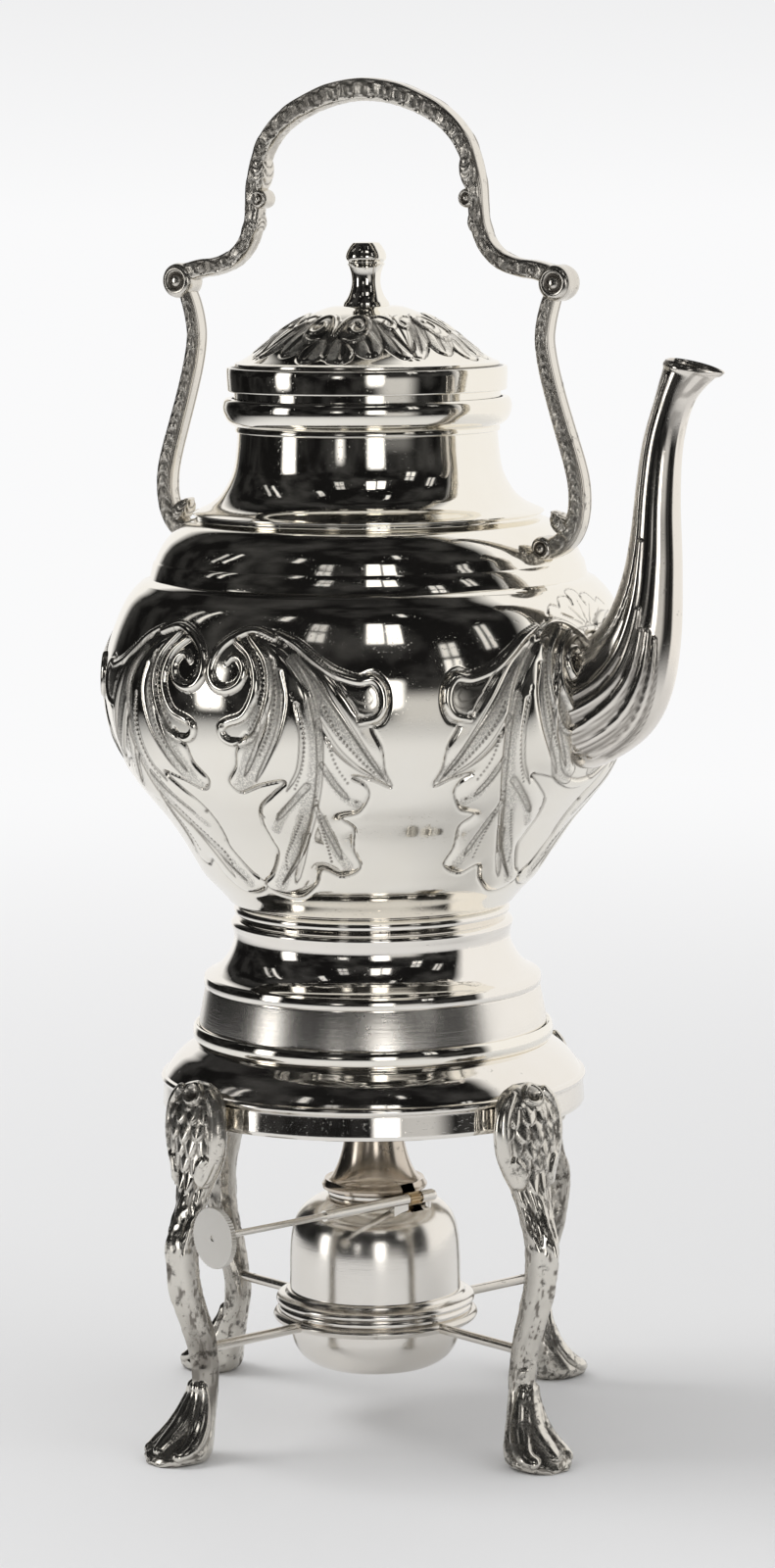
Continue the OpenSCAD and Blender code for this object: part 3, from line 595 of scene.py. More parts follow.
class Skin(Surface):
    """A tube of rings, worked like a spun surface: its curves are (degrees round it, millimetres along it)."""

    def __init__(self, rings):
        self.base = rings
        middle = rings.mean(axis=1)
        self.run = along(middle)
        self.columns = rings.shape[1]
        self.step = 360.0 / self.columns
        self.line = np.stack([np.zeros(len(rings)), self.run], axis=1)
        self.thin = np.linalg.norm(rings - middle[:, None], axis=2).mean(axis=1)
        self.relief, self.groove, self.matte = (np.zeros(rings.shape[:2]) for _ in range(3))

    def spatial(self, degrees, place, radius=None):
        row = np.interp(np.asarray(place, float), self.run, np.arange(len(self.run)))
        column = np.asarray(degrees, float) / self.step
        r0, c0 = np.floor(row).astype(int), np.floor(column).astype(int)
        r1 = np.minimum(r0 + 1, len(self.run) - 1)
        fr, fc = (row - r0)[..., None], (column - c0)[..., None]
        a, b = c0 % self.columns, (c0 + 1) % self.columns
        g = self.base
        return (g[r0, a] * (1 - fc) + g[r0, b] * fc) * (1 - fr) + (g[r1, a] * (1 - fc) + g[r1, b] * fc) * fr

    def window(self, curve, margin):
        rows = np.nonzero((self.run > curve[:, 1].min() - margin) & (self.run < curve[:, 1].max() + margin))[0]
        reach = math.degrees(margin / max(1.5, self.thin[rows].min())) if len(rows) else 0
        c0 = int(math.floor((curve[:, 0].min() - reach) / self.step))
        count = min(self.columns, int(math.ceil((curve[:, 0].max() + reach) / self.step)) - c0 + 1)
        columns = c0 + np.arange(count)
        return rows, columns % self.columns, self.base[np.ix_(rows, columns % self.columns)], columns * self.step

    def normals(self):
        along_it = np.gradient(self.base, axis=0)
        round_it = np.roll(self.base, -1, axis=1) - np.roll(self.base, 1, axis=1)
        n = np.cross(round_it, along_it)
        n /= np.linalg.norm(n, axis=2, keepdims=True) + 1e-9
        outwards = ((self.base - self.base.mean(axis=1, keepdims=True)) * n).sum(axis=2).mean()
        return n * np.sign(outwards)

    def points(self, lift=0.0):
        return self.base + self.normals() * self.relief[..., None] + np.array([0, 0, lift])

    def field(self):
        """Degrees round and millimetres along, at every point."""
        return np.meshgrid(np.arange(self.columns) * self.step, self.run)


def tube_part(skin, lift=0.0):
    """A worked tube with its two ends closed, as points, quads, triangles and the two fields."""
    grid = skin.points(lift)
    rows, columns = grid.shape[:2]
    points = np.vstack([grid.reshape(-1, 3), grid[0].mean(axis=0), grid[-1].mean(axis=0)])
    k, n = np.arange(columns), (np.arange(columns) + 1) % columns
    first, last = rows * columns, rows * columns + 1
    fans = np.vstack([np.stack([np.full(columns, first), n, k], axis=1),
                      np.stack([np.full(columns, last), (rows - 1) * columns + k, (rows - 1) * columns + n], axis=1)])
    fields = [np.append(f.ravel(), [0, 0]) for f in (skin.groove, skin.matte)]
    return points, grid_faces(rows, columns), fans, fields[0], fields[1]


def button_part(at, outline, dark, columns=96):
    """A small turned boss lying across the handle, from an outline of radius and distance along Y."""
    turn = 2 * math.pi * np.arange(columns) / columns
    o = np.asarray(outline, float)
    grid = np.stack([at[0] + o[:, :1] * np.cos(turn), o[:, 1:2] + 0 * turn, at[1] + o[:, :1] * np.sin(turn)], axis=-1)
    groove = np.repeat(np.asarray(dark, float)[:, None], columns, axis=1)
    return grid.reshape(-1, 3), grid_faces(len(o), columns), np.zeros((0, 3), int), groove.ravel(), groove.ravel() * 0.5


def joined(name, parts, sharp=50):
    """One mesh of several parts, each given as tube_part gives it."""
    points, quads, fans, groove, matte, at = [], [], [], [], [], 0
    for p, q, f, g, m in parts:
        points.append(p)
        quads.append(q + at)
        fans.append(f + at)
        groove.append(g)
        matte.append(m)
        at += len(p)
    faces = [np.vstack(quads)] + [np.vstack(fans)] * bool(sum(len(f) for f in fans))
    return mesh_object(name, np.vstack(points), faces,
                       {"groove": np.concatenate(groove), "matte": np.concatenate(matte)}, sharp=sharp)


def turned(curve, middle, side, widen=1.0):
    """A curve of the half panel, put on one side of a panel's middle."""
    return np.array([(middle + side * widen * a, h) for a, h in curve])


def chase_half_panel(s, middle, side, widen):
    place = lambda curve: turned(curve, middle, side, widen)
    s.raise_inside(place(LEAF_EDGE + SIDE_SCROLL + LEAF_CLOSE), 0.85, 4.5)
    for half, tip, depth, curve in VEINS:
        s.cut(place(curve), half, depth, 0.25, tip)
    for half, height, curve in RIDGES:
        s.ridge(place(curve), half, height + 0.25)
    for half, curve in MATTE:
        s.soften(place(curve), half)
    for curve in DOT_ROWS:
        s.dots(place(curve))
    for a, h, size in PUNCHES:
        s.punch(middle + side * widen * a, h, size)
    s.cut(place(LEAF_EDGE + SIDE_SCROLL[1:]), 0.5, 0.5, 1.0)


BOWL_CURVE = [
    [42.4, 38.0], [45.5, 41.6], [49.8, 46.1], [52.6, 50.8], [56.2, 57.0], [60.2, 62.9], [65.3, 69.2],
    [BELLY_R - 8.3, 75.6], [BELLY_R - 4.3, 83.5], [BELLY_R - 1.7, 90.8], [BELLY_R - 0.4, 97.5],
    [BELLY_R, 104.0], [BELLY_R - 0.4, 109.8], [BELLY_R - 1.7, 115.6], [BELLY_R - 3.7, 121.4],
    [BELLY_R - 6.2, 126.8], [BELLY_R - 8.5, 130.2], [BELLY_R - 11.3, 133.0]]
PANELS = [(0.0, -1.5, 1.03), (90.0, -3.0, 1.0), (180.0, -2.0, 1.0), (270.0, -4.5, 1.0)]

BOWL_COLUMNS, BOWL_WALL = 1440, 1.0
# The way from the bowl into the spout: its height above the seat, and its radius.
SPOUT_HOLE_AT, SPOUT_HOLE_R = 100, 11.5


def make_bowl():
    outer = resampled(smooth(BOWL_CURVE, 8), 0.40)
    s = Surface(outer, BOWL_COLUMNS)
    for middle, shift, widen in PANELS:
        for side in (-1, 1):
            chase_half_panel(s, middle + shift, side, widen)
    middle = PANELS[0][0]
    for curve in PALMETTE:
        s.cut(turned(curve, middle, 1), 0.36, 0.3, 0.9)
    for curve in PALMETTE_VEINS:
        s.cut(turned(curve, middle, 1), 0.6, 0.35, 0.8, 0.3)
    s.cut(turned(CARTOUCHE, middle, 1), 0.36, 0.3, 0.9)
    s.ridge(turned(CARTOUCHE_RIM, middle, 1), 1.5, 0.9)
    wall = offset_inwards(resampled(np.vstack([outer[::6], outer[-1:]]), 3.0), BOWL_WALL)[::-1]
    rest = np.vstack([[[64.7, 134.2], [63.9, 133.6]], wall, [[40.4, 37.5], [20.0, 37.5], [4.0, 37.5],
                      [4.0, 36.5], [20.0, 36.5], [40.6, 36.5]]])
    others = revolved(rest, BOWL_COLUMNS, SEAT)
    points = np.vstack([s.points(SEAT).reshape(-1, 3), others])
    faces = grid_faces(len(outer) + len(rest), BOWL_COLUMNS, closed_rows=True)
    middles = points[faces].mean(axis=1)
    hole = (middles[:, 0] > 0) & (np.hypot(middles[:, 1], middles[:, 2] - SEAT - SPOUT_HOLE_AT) < SPOUT_HOLE_R)
    pad = np.zeros(len(others))
    ob = mesh_object("chased_bowl", points, faces[~hole], s.fields(pad, pad), sharp=60)
    floor = lathe("bowl_floor", [[0, 36.5], [4.2, 36.5], [4.2, 37.5], [0, 37.5]], 96, lift=SEAT)
    fitted(floor, "kettle", [], SHEET)
    return fitted(ob, "kettle", ["kettle_bowl"], CHASED)


make_bowl()

# ---------------------------------------------------------------- the chased lid

LID_CROWN = [[6.9, 213.3], [11.5, 212.8], [19.6, 209.3], [26.9, 204.8], [33.1, 200.0], [37.4, 197.3]]
LID_AXES = (10.0, 100.0, 190.0, 280.0)
# On the lid each curve is a list of (degrees from the panel's middle, radius).
LID_EDGE = [(0, 34.4), (4.5, 36.0), (9.5, 36.4), (13.5, 34.8), (16, 32.0), (19.5, 33.2), (24, 33.9), (28.5, 32.6),
            (31.5, 30.2), (35.5, 32.4), (40, 34.8), (45, 34.2)]
LID_TOP = [(45, 17.4), (38, 16.2), (30, 16.4), (22, 16.0), (12, 16.2), (5, 17.2), (0, 19.4)]
LID_RIDGES = [
    # half width, height, curve
    (1.15, 0.95, [(1.5, 25.8), (3.0, 22.0), (7.0, 18.6), (14, 17.2), (21, 18.2), (23.5, 21.2), (20.5, 24.4),
                  (14.5, 25.2), (10.5, 23.2), (12.5, 20.8), (16.5, 21.0)]),
    (0.95, 0.8, [(27, 18.0), (34, 17.4), (41, 18.8), (43.5, 21.4), (39.5, 23.4), (35.8, 21.9), (38, 20.2)]),
    (0.8, 0.6, [(22.5, 24.2), (19.0, 27.2), (13.0, 28.4), (8.0, 27.8)]),
]
LID_VEINS = [
    # half width at the root, half width at the tip, depth, curve
    (1.5, 0.6, 0.8, [(0.4, 27.0), (0, 31.0), (0, 34.0)]),
    (0.8, 0.4, 0.45, [(7.6, 29.2), (8.8, 31.6), (9.5, 34.8)]),
    (1.6, 0.6, 0.85, [(13.2, 28.6), (15.0, 30.2), (16.0, 32.6)]),
    (0.8, 0.4, 0.45, [(19.8, 27.0), (22.6, 29.6), (24.0, 32.4)]),
    (1.6, 0.6, 0.85, [(24.6, 21.0), (29.0, 25.8), (31.5, 30.4)]),
    (0.8, 0.4, 0.45, [(31.4, 21.6), (36.0, 27.4), (39.6, 33.0)]),
    (1.4, 0.6, 0.7, [(36.6, 24.4), (41.0, 28.6), (45, 32.8)]),
]
LID_MATTE = [
    # half width, curve
    (1.8, [(4.4, 29.0), (4.8, 34.2)]), (1.7, [(18.4, 27.4), (20.0, 32.0)]),
    (1.8, [(26.6, 20.4), (28.0, 31.0)]), (1.8, [(33.6, 22.6), (36.6, 31.0)]),
]
LID_COLUMNS = 900
# The lid's profile from the crown's edge down, in at the flange and back up inside. In some rows its groove is painted
# dark, a painted shadow line under the crown's edge.
LID_REST = [
    [38.1, 197.12], [38.5, 197.0], [38.9, 196.75], [39.0, 196.3], [38.9, 195.8], [39.2, 195.5],
    [NECK_R + 1.4, 195.4], [NECK_R + 2.0, 195.68], [NECK_R + 2.5, 195.7], [NECK_R + 2.85, 195.55],
    [NECK_R + 3.0, 195.2], [NECK_R + 3.05, 193.4], [NECK_R + 2.85, 189.2], [NECK_R + 2.8, 188.9],
    [NECK_R + 2.6, 188.7], [NECK_R + 1.8, 188.7], [NECK_R + 1.9, 194.4], [38.0, 194.6], [37.9, 196.0],
    [36.9, 196.4], [32.6, 199.1], [26.4, 203.9], [19.2, 208.4], [11.3, 211.9], [6.9, 212.3],
    [1.5, 212.4], [1.5, 213.3]]
LID_SHADOW_ROWS = slice(4, 7)


def lid_curve(curve, middle, side):
    by_radius = np.array(sorted(map(tuple, smooth(LID_CROWN, 8))))
    return np.array([(middle + side * a, np.interp(r, by_radius[:, 0], by_radius[:, 1])) for a, r in curve])


def make_lid():
    crown = resampled(smooth(LID_CROWN, 8), 0.3)
    s = Surface(crown, LID_COLUMNS)
    for middle in LID_AXES:
        for side in (-1, 1):
            place = lambda curve: lid_curve(curve, middle, side)
            s.raise_inside(place(LID_TOP[::-1] + LID_EDGE[::-1]), 0.3, 1.8)
            for half, tip, depth, curve in LID_VEINS:
                s.cut(place(curve), half, 0.55 * depth, 0.6, tip)
            for half, height, curve in LID_RIDGES:
                s.ridge(place(curve), half, 0.55 * height + 0.2)
            for half, curve in LID_MATTE:
                s.soften(place(curve), half)
            s.cut(place(LID_EDGE), 0.42, 0.4, 1.0)
    # The crown's profile runs outwards and down, so what is raised on it has to be turned over to stand up.
    s.relief *= -1
    points = np.vstack([s.points(SEAT).reshape(-1, 3), revolved(np.array(LID_REST), LID_COLUMNS, SEAT)])
    # A painted shadow line: the groove rows under the crown's edge are darkened.
    dark = np.zeros((len(LID_REST), LID_COLUMNS))
    dark[LID_SHADOW_ROWS] = 0.9
    faces = grid_faces(len(crown) + len(LID_REST), LID_COLUMNS, closed_rows=True)
    ob = mesh_object("chased_lid", points, faces, s.fields(dark, 0.2 * dark), sharp=42)
    return fitted(ob, "lid", ["lid_shell"], CHASED)


make_lid()

# ---------------------------------------------------------------- the spout

SPOUT_STATIONS = [
    # upper edge, lower edge, half the width, narrowing to the lip
    [66.0, 118.5, 66.0, 83.0, 15.5, 0], [75.0, 119.5, 76.2, 81.2, 15.5, 0], [79.3, 122.6, 91.5, 89.8, 13.0, 0],
    [83.2, 128.9, 99.6, 101.4, 10.7, 0], [86.9, 139.0, 103.3, 118.0, 8.8, 0], [89.3, 151.0, 104.0, 139.0, 7.5, 0],
    [90.8, 163.5, 103.5, 158.5, 6.6, 0], [92.9, 175.8, 104.5, 174.6, 5.9, 0], [96.4, 187.0, 108.0, 186.4, 5.8, 0.05],
    [99.0, 195.4, 114.0, 193.0, 6.2, 0.35], [100.2, 199.2, 118.3, 195.4, 6.4, 0.5]]
REEDS = [[(262, 9.0), (261.5, 20), (261, 33), (260, 50), (259, 64)], [(275.5, 9.3), (275, 18), (274, 30), (271, 46)],
         [(293, 9.8), (289.5, 17), (286.5, 27), (281, 42)], [(309.5, 10.6), (308, 19), (302.5, 30), (294, 44)],
         [(328, 12.4), (326, 20), (318.5, 30), (306, 44)]]
VALLEYS = [[(268.5, 9.6), (268, 20), (267, 33), (265, 50)], [(284.5, 9.8), (282.5, 18), (280, 30), (275, 45)],
           [(301.5, 10.4), (299, 18), (294.5, 29), (287, 43)], [(319, 11.8), (317.5, 20), (310.5, 30), (300, 43)],
           [(338, 15.0), (334, 22), (326, 31), (314, 42)]]
BAND_EDGE = [(221, 14), (229, 26), (238, 42), (244, 60), (243, 80), (240, 98), (236, 113)]


def spout_rings(stations, columns, wall):
    s = np.asarray(stations)
    upper, lower = s[:, [0, 1]], s[:, [2, 3]]
    middle, reach = (upper + lower) / 2, lower - upper
    half = np.linalg.norm(reach, axis=1)[:, None] / 2
    a = np.radians(np.arange(columns) * 360.0 / columns)[None, :]
    out = np.cos(a) * (half - wall)
    side = (s[:, 4:5] * (1 - s[:, 5:6] * ((1 + np.cos(a)) / 2) ** 2) - wall) * np.sin(a)
    x = middle[:, :1] + reach[:, :1] / (2 * half) * out
    z = middle[:, 1:] + reach[:, 1:] / (2 * half) * out
    return np.stack([x, side, z], axis=-1)


# Where the spout leaves the bowl: the least X of its lower edge, and how far along it the root is. Its full length.
SPOUT_FROM, SPOUT_ROOT, SPOUT_LENGTH = 71.0, 8.2, 117.7
SPOUT_COLUMNS, SPOUT_WALL = 168, 1.1


def make_spout():
    stations = resampled(smooth(SPOUT_STATIONS, 12), 0.75)
    stations = stations[stations[:, 2] > SPOUT_FROM]
    s = Skin(spout_rings(stations, SPOUT_COLUMNS, 0))
    s.run = s.run - s.run[-1] + SPOUT_LENGTH
    s.line[:, 1] = s.run
    for side in (-1, 1):
        place = lambda curve: np.array([(180 + side * (a - 180), v) for a, v in curve])
        for curve in VALLEYS:
            s.cut(place(curve), 1.7, 1.05, 0.75, 0.35)
        for k, curve in enumerate(REEDS):
            s.ridge(place(curve), 1.5 - 0.1 * k, 0.65)
        s.ridge(place(BAND_EDGE), 0.75, 0.4)
        s.soften(place([(205, 14), (212, 30), (220, 50), (224, 70)]), 3.4)
    s.soften(np.array([(180, 16), (180, 40), (180, 80)]), 3.6)
    s.dots(np.array([(180, 22), (180, 60), (180, 108)]), 2.1, 0.5)
    degrees, place = s.field()
    pits = value_noise(degrees / 5.5, place / 0.9, 5) * value_noise(degrees / 11, place / 2.1, 9)
    upper_band = ease(-np.abs(degrees - 180), -64, -40) * ease(place, SPOUT_ROOT + 4, SPOUT_ROOT + 12)
    s.matte = np.maximum(s.matte, 0.7 * upper_band)
    s.groove = np.maximum(s.groove, upper_band * ease(pits, 0.34, 0.6) * 0.7)
    mottled = ease(place, 84, 112) * ease(value_noise(degrees / 14, place / 3.0, 3), 0.5, 0.8)
    s.groove = np.maximum(s.groove, 0.5 * mottled)
    # A rounded end where the reeds meet the body, and a thin rolled lip.
    s.relief += 0.45 * np.exp(-((place - 116.4) / 0.9) ** 2)
    s.groove = np.maximum(s.groove, 0.8 * np.exp(-((place - SPOUT_ROOT) / 1.0) ** 2))
    outer = s.points(SEAT)
    inner = spout_rings(stations[::-4], SPOUT_COLUMNS, SPOUT_WALL) + np.array([0, 0, SEAT])
    lip = (outer[-1] * 0.5 + inner[0] * 0.5)[None] + np.array([0.25, 0, 0.35])
    grid = np.concatenate([outer, lip, inner])
    pad = np.zeros((len(inner) + 1, SPOUT_COLUMNS))
    # The inner wall takes the groove field's full dark from just inside the lip: painted shade inside the spout.
    inside = pad + np.clip(np.arange(len(pad))[:, None] * 0.3, 0, 1)
    ob = mesh_object("reeded_spout", grid.reshape(-1, 3), grid_faces(len(grid), SPOUT_COLUMNS, closed_rows=True),
                     s.fields(inside, pad), sharp=60)
    return fitted(ob, "kettle", ["spout"], SPOUT)


make_spout()

# ---------------------------------------------------------------- the legs

LEG_STATIONS = [
    # inner edge, outer edge, half the width
    [64.2, 111.4, 65.8, 111.9, 2.8], [63.2, 109.6, 68.0, 110.8, 7.0], [62.4, 106.6, 70.2, 107.4, 10.0],
    [62.2, 102.5, 71.6, 102.7, 11.2], [62.0, 97.0, 72.4, 97.0, 11.4], [61.9, 91.0, 72.4, 91.0, 10.4],
    [62.5, 86.0, 72.4, 85.0, 8.2], [64.5, 81.4, 73.4, 78.4, 6.2], [67.0, 75.2, 76.0, 71.8, 5.5],
    [68.7, 67.8, 78.5, 66.2, 5.3], [69.2, 60.0, 79.0, 60.0, 5.1], [68.4, 53.0, 77.6, 51.0, 4.9],
    [66.0, 45.0, 74.3, 42.1, 4.6], [63.3, 35.8, 71.3, 34.2, 4.4], [61.9, 27.2, 69.7, 26.8, 4.2],
    [62.1, 20.2, 69.8, 20.1, 4.3], [62.6, 14.0, 71.6, 15.9, 5.2], [63.4, 7.5, 73.8, 12.0, 6.8],
    [64.8, 1.5, 76.8, 8.8, 8.5], [68.2, -0.6, 79.6, 6.3, 9.3], [73.0, -0.9, 81.8, 4.5, 8.8],
    [78.8, -0.9, 83.6, 3.0, 6.8], [83.4, -0.4, 84.3, 1.2, 3.2]]
FIRST_LEG_TURN = -17.3
# On a leg each curve is a list of (degrees from its front, millimetres down it).
KNEE_RIM = [(46, 3.0), (62, 7.0), (70, 12), (70, 18), (64, 23.5), (54, 27.6), (42, 26.6), (40, 23.2), (47, 21.6)]
FEATHER_WIDE, FEATHER_LONG = 29.0, 4.6
TOES = [(-54, 3.2), (0, 3.5), (54, 3.2)]
# How far each foot stands out beyond the first stations, and aside, in millimetres: the castings differ a little.
FOOT_SET = {1: (0.0, -2.4), 2: (-1.0, 0.0), 3: (5.0, 0.0), 4: (0.0, -2.4)}
# How much darker each leg's lower shaft is made, from 0 to 1.
LOWER_SHAFT_DARKNESS = {1: 0.25, 2: 0.35, 3: 0.35, 4: 0.85}


def leg_rings(number, columns):
    s = smooth(LEG_STATIONS, 12)
    inner = np.stack([s[:, 0], 0 * s[:, 0], s[:, 1]], axis=1)
    outer = np.stack([s[:, 2], 0 * s[:, 0], s[:, 3]], axis=1)
    a = np.radians(np.arange(columns) * 360.0 / columns)
    middle, reach = (inner + outer) / 2, (outer - inner) / 2
    out, aside = FOOT_SET[number]
    down = ease(along(middle), 84, 112)[:, None]
    middle = middle + down * np.array([[out, aside, 0]])
    across = np.array([0, 1, 0]) * (s[:, 4:5] * np.sin(a))[..., None]
    return middle[:, None] + reach[:, None] * -np.cos(a)[None, :, None] + across


def feathers(beta, place, seed):
    """Overlapping feathers that point down the knee: their height, and how dark the gaps between them are."""
    u = beta / FEATHER_WIDE + 0.3 * (value_noise(beta / 25 + 30, place / 5, seed) - 0.5)
    v = place / FEATHER_LONG + 0.5 * (value_noise(beta / 30 + 50, place / 6, seed + 5) - 0.5)

    def one_row(row):
        shifted = u - 0.5 * (row % 2)
        t = (v - row) / 1.6
        half = 0.5 * np.sqrt(np.clip(1 - (np.clip(t - 0.45, 0, 1) / 0.55) ** 2, 0, 1))
        return np.abs(shifted - np.round(shifted)) / np.maximum(half, 1e-3), t

    row = np.floor(v)
    above, t_above = one_row(row - 1)
    own, t_own = one_row(row)
    covered = (above < 1) & (t_above < 1)
    across, t = np.where(covered, above, own), np.where(covered, t_above, t_own)
    height = (0.2 + 1.1 * t) * np.sqrt(np.clip(1 - 0.8 * across**2, 0, 1))
    dark = np.where(covered, ease(across, 0.86, 1.0), ease(across, 0.8, 1.0) + ease(-above, -1.5, -1.0))
    vein = 0.5 * np.exp(-(across / 0.12) ** 2) * ease(t, 0.3, 0.6)
    return height, np.clip(np.maximum(dark, vein), 0, 1)


def worked_leg(number):
    s = Skin(leg_rings(number, 132))
    front = lambda curve: np.array([(180 + a, v) for a, v in curve])
    degrees, place = s.field()
    beta = (degrees % 360) - 180
    knee = ease(place, 4.5, 7.5) * ease(-place, -38, -30) * ease(-np.abs(beta), -86, -62)
    height, dark = feathers(beta, place, 40 + number)
    s.relief += knee * (height - 0.3)
    s.groove = np.maximum(s.groove, knee * dark)
    for side in (-1, 1):
        rim = front([(side * a, v) for a, v in KNEE_RIM])
        s.ridge(rim, 2.4, 1.7)
        at, off, _ = s.near(rim, 2.4)
        s.groove[at] *= ease(off, 1.2, 2.4)
        s.cut(front([(side * 34, 29), (side * 30, 36), (side * 40, 45)]), 0.75, 0.5, 0.9, 0.3)
    ring = [(-4 + 19 * math.cos(t), 3.6 + 2.2 * math.sin(t)) for t in np.linspace(0, 2 * math.pi, 13)]
    s.ridge(front(ring), 0.9, 1.3)
    s.punch(176, 3.6, 1.3, 0.9)
    shaft = ease(place, 28, 40) * ease(-place, -98, -86)
    s.relief += shaft * (1.1 * np.exp(-(beta / 11) ** 2) - 0.7 * np.exp(-((np.abs(beta) - 40) / 17) ** 2))
    # Below the knee the casting is a little uneven and pitted, except along the seam at its back.
    uneven = ease(place, 28, 36) * ease(-np.abs(beta), -178, -150)
    s.relief += uneven * (0.6 * (value_noise(beta / 24 + 5, place / 6.0, 60 + number) - 0.5)
                          + 0.3 * (value_noise(beta / 11 + 3, place / 2.1, 70 + number) - 0.5))
    pits = value_noise(beta / 8 + 9, place / 1.3, 17 + number) * value_noise(beta / 20, place / 5.0, 23 + number)
    pits = uneven * ease(pits, 0.34, 0.5)
    s.relief -= 0.15 * pits
    s.groove = np.maximum(s.groove, 0.85 * pits)
    # The shaft's sides are painted darker, a painted shade beside the bright ridge down its front.
    s.groove = np.maximum(s.groove, shaft * 0.45 * ease(np.abs(beta), 48, 88))
    # The lower shaft is darkened by a set amount for each leg, in blotches.
    lower = ease(place, 56, 88) * ease(-place, -104, -94)
    blotches = 0.6 + 0.4 * ease(value_noise(beta / 30, place / 6.0, 80 + number), 0.3, 0.6)
    s.groove = np.maximum(s.groove, LOWER_SHAFT_DARKNESS[number] * lower * blotches)
    s.groove = np.maximum(s.groove, 0.12 * ease(place, 90, 100))
    for k, (at, half) in enumerate(TOES):
        bend = 6 * math.sin(1.3 * k + number)
        toe = front([(0.6 * at, 93), (0.9 * at + bend, 100), (at + bend, 107), (at, 113), (0.92 * at, 117)])
        s.ridge(toe, half, 1.3)
        near, off, _ = s.near(toe, half)
        s.groove[near] *= ease(off, 0.4 * half, 0.9 * half)
    part = tube_part(s)
    part[0][:, 2] = np.maximum(part[0][:, 2], 0.0)
    turn = math.radians(FIRST_LEG_TURN + 90 * (number - 1))
    x, y = part[0][:, 0].copy(), part[0][:, 1].copy()
    part[0][:, 0], part[0][:, 1] = x * math.cos(turn) - y * math.sin(turn), x * math.sin(turn) + y * math.cos(turn)
    ob = joined("cast_leg_%d" % number, [part], sharp=60)
    return fitted(ob, "stand", ["leg_%d" % number], CAST)


for number in (1, 2, 3, 4):
    worked_leg(number)

# ---------------------------------------------------------------- the handle

# On the handle each station is X, height above the seat, and half the strip's thickness.
BOW_HALF = [
    [0, 276.1, 3.35], [10, 275.0, 3.3], [19.8, 271.7, 3.1], [27.6, 267.4, 2.95], [33.0, 262.0, 2.8],
    [36.3, 255.5, 2.6], [37.9, 249.0, 2.5], [38.4, 242.5, 2.5], [39.2, 236.5, 2.5], [41.8, 230.8, 2.55],
    [46.5, 226.6, 2.6], [52.6, 224.6, 2.65], [58.5, 223.8, 2.8], [64.0, 222.0, 3.0]]
ARM = [
    [64.3, 219.5, 1.7], [62.2, 214.5, 2.1], [60.7, 209.0, 2.2], [60.2, 203.5, 2.2], [61.4, 196.0, 2.3],
    [63.9, 187.0, 2.35], [67.0, 177.5, 2.45], [69.8, 169.0, 2.6], [71.3, 162.5, 2.65], [71.4, 156.0, 2.7],
    [69.9, 150.4, 2.9], [66.8, 146.4, 3.1], [62.0, 143.8, 3.0]]
HANDLE_HALF_DEPTH = 3.3
CORNER_SCROLL, INNER_SCROLL, FOOT_SCROLL = (65.0, 220.3), (35.8, 244.5), (60.5, 143.6)


def strip_rings(line, columns):
    """Rings round a strip of nearly oblong section: 0 degrees is its inner side, 90 its back and 180 its outer edge."""
    run = np.gradient(line[:, :2], axis=0)
    run /= np.linalg.norm(run, axis=1)[:, None]
    a = 2 * math.pi * np.arange(columns) / columns
    c, s = np.cos(a), np.sin(a)
    c, s = np.sign(c) * np.abs(c) ** 0.62, np.sign(s) * np.abs(s) ** 0.62
    x = line[:, :1] + run[:, 1:2] * line[:, 2:3] * c
    z = line[:, 1:2] - run[:, :1] * line[:, 2:3] * c
    return np.stack([x, HANDLE_HALF_DEPTH * s + 0 * x, z], axis=-1)


def chisel(s, seed, gap, leaves):
    """Leaf marks and hammer dents on both faces of the strip, with the outer edge left plain."""
    degrees, place = s.field()
    face = np.maximum(np.exp(-((degrees - 90) / 34) ** 4), np.exp(-((degrees - 270) / 34) ** 4))
    inner = np.exp(-(((degrees + 180) % 360 - 180) / 40) ** 4)
    rough = np.maximum(face, 0.6 * inner)
    first, second = cellular(degrees / 26 + seed, place / 1.7 + 3 * seed, seed)
    s.relief += rough * 0.34 * (0.5 - first)
    s.groove = np.maximum(s.groove, rough * 0.62 * ease(-(second - first), -0.2, -0.02))
    stain = value_noise(degrees / 40 + seed, place / 5.0, seed + 2)
    s.groove = np.maximum(s.groove, rough * 0.5 * ease(stain, 0.5, 0.85))
    s.matte = np.maximum(s.matte, rough * 0.45)
    at, k = 3.0, 0
    while at < s.run[-1] - 4:
        for middle in (90, 270):
            lean = 1 if leaves else (1 if k % 2 else -1)
            wander = 14 * (float(hashed((np.array(k), np.array(middle)), seed)) - 0.5)
            mark = [(middle - 36, at + 2.6 * lean), (middle + wander, at), (middle + 36, at + 2.2 * lean)]
            s.cut(np.array(mark), 0.5, 0.34, 0.85)
        at += gap * (0.75 + 0.5 * float(hashed((np.array(k), np.array(7)), seed + 1)))
        k += 1
    for edge in (146, 214):
        s.ridge(np.array([(edge, 1.0), (edge, s.run[-1] / 2), (edge, s.run[-1] - 1)]), 0.5, 0.22)


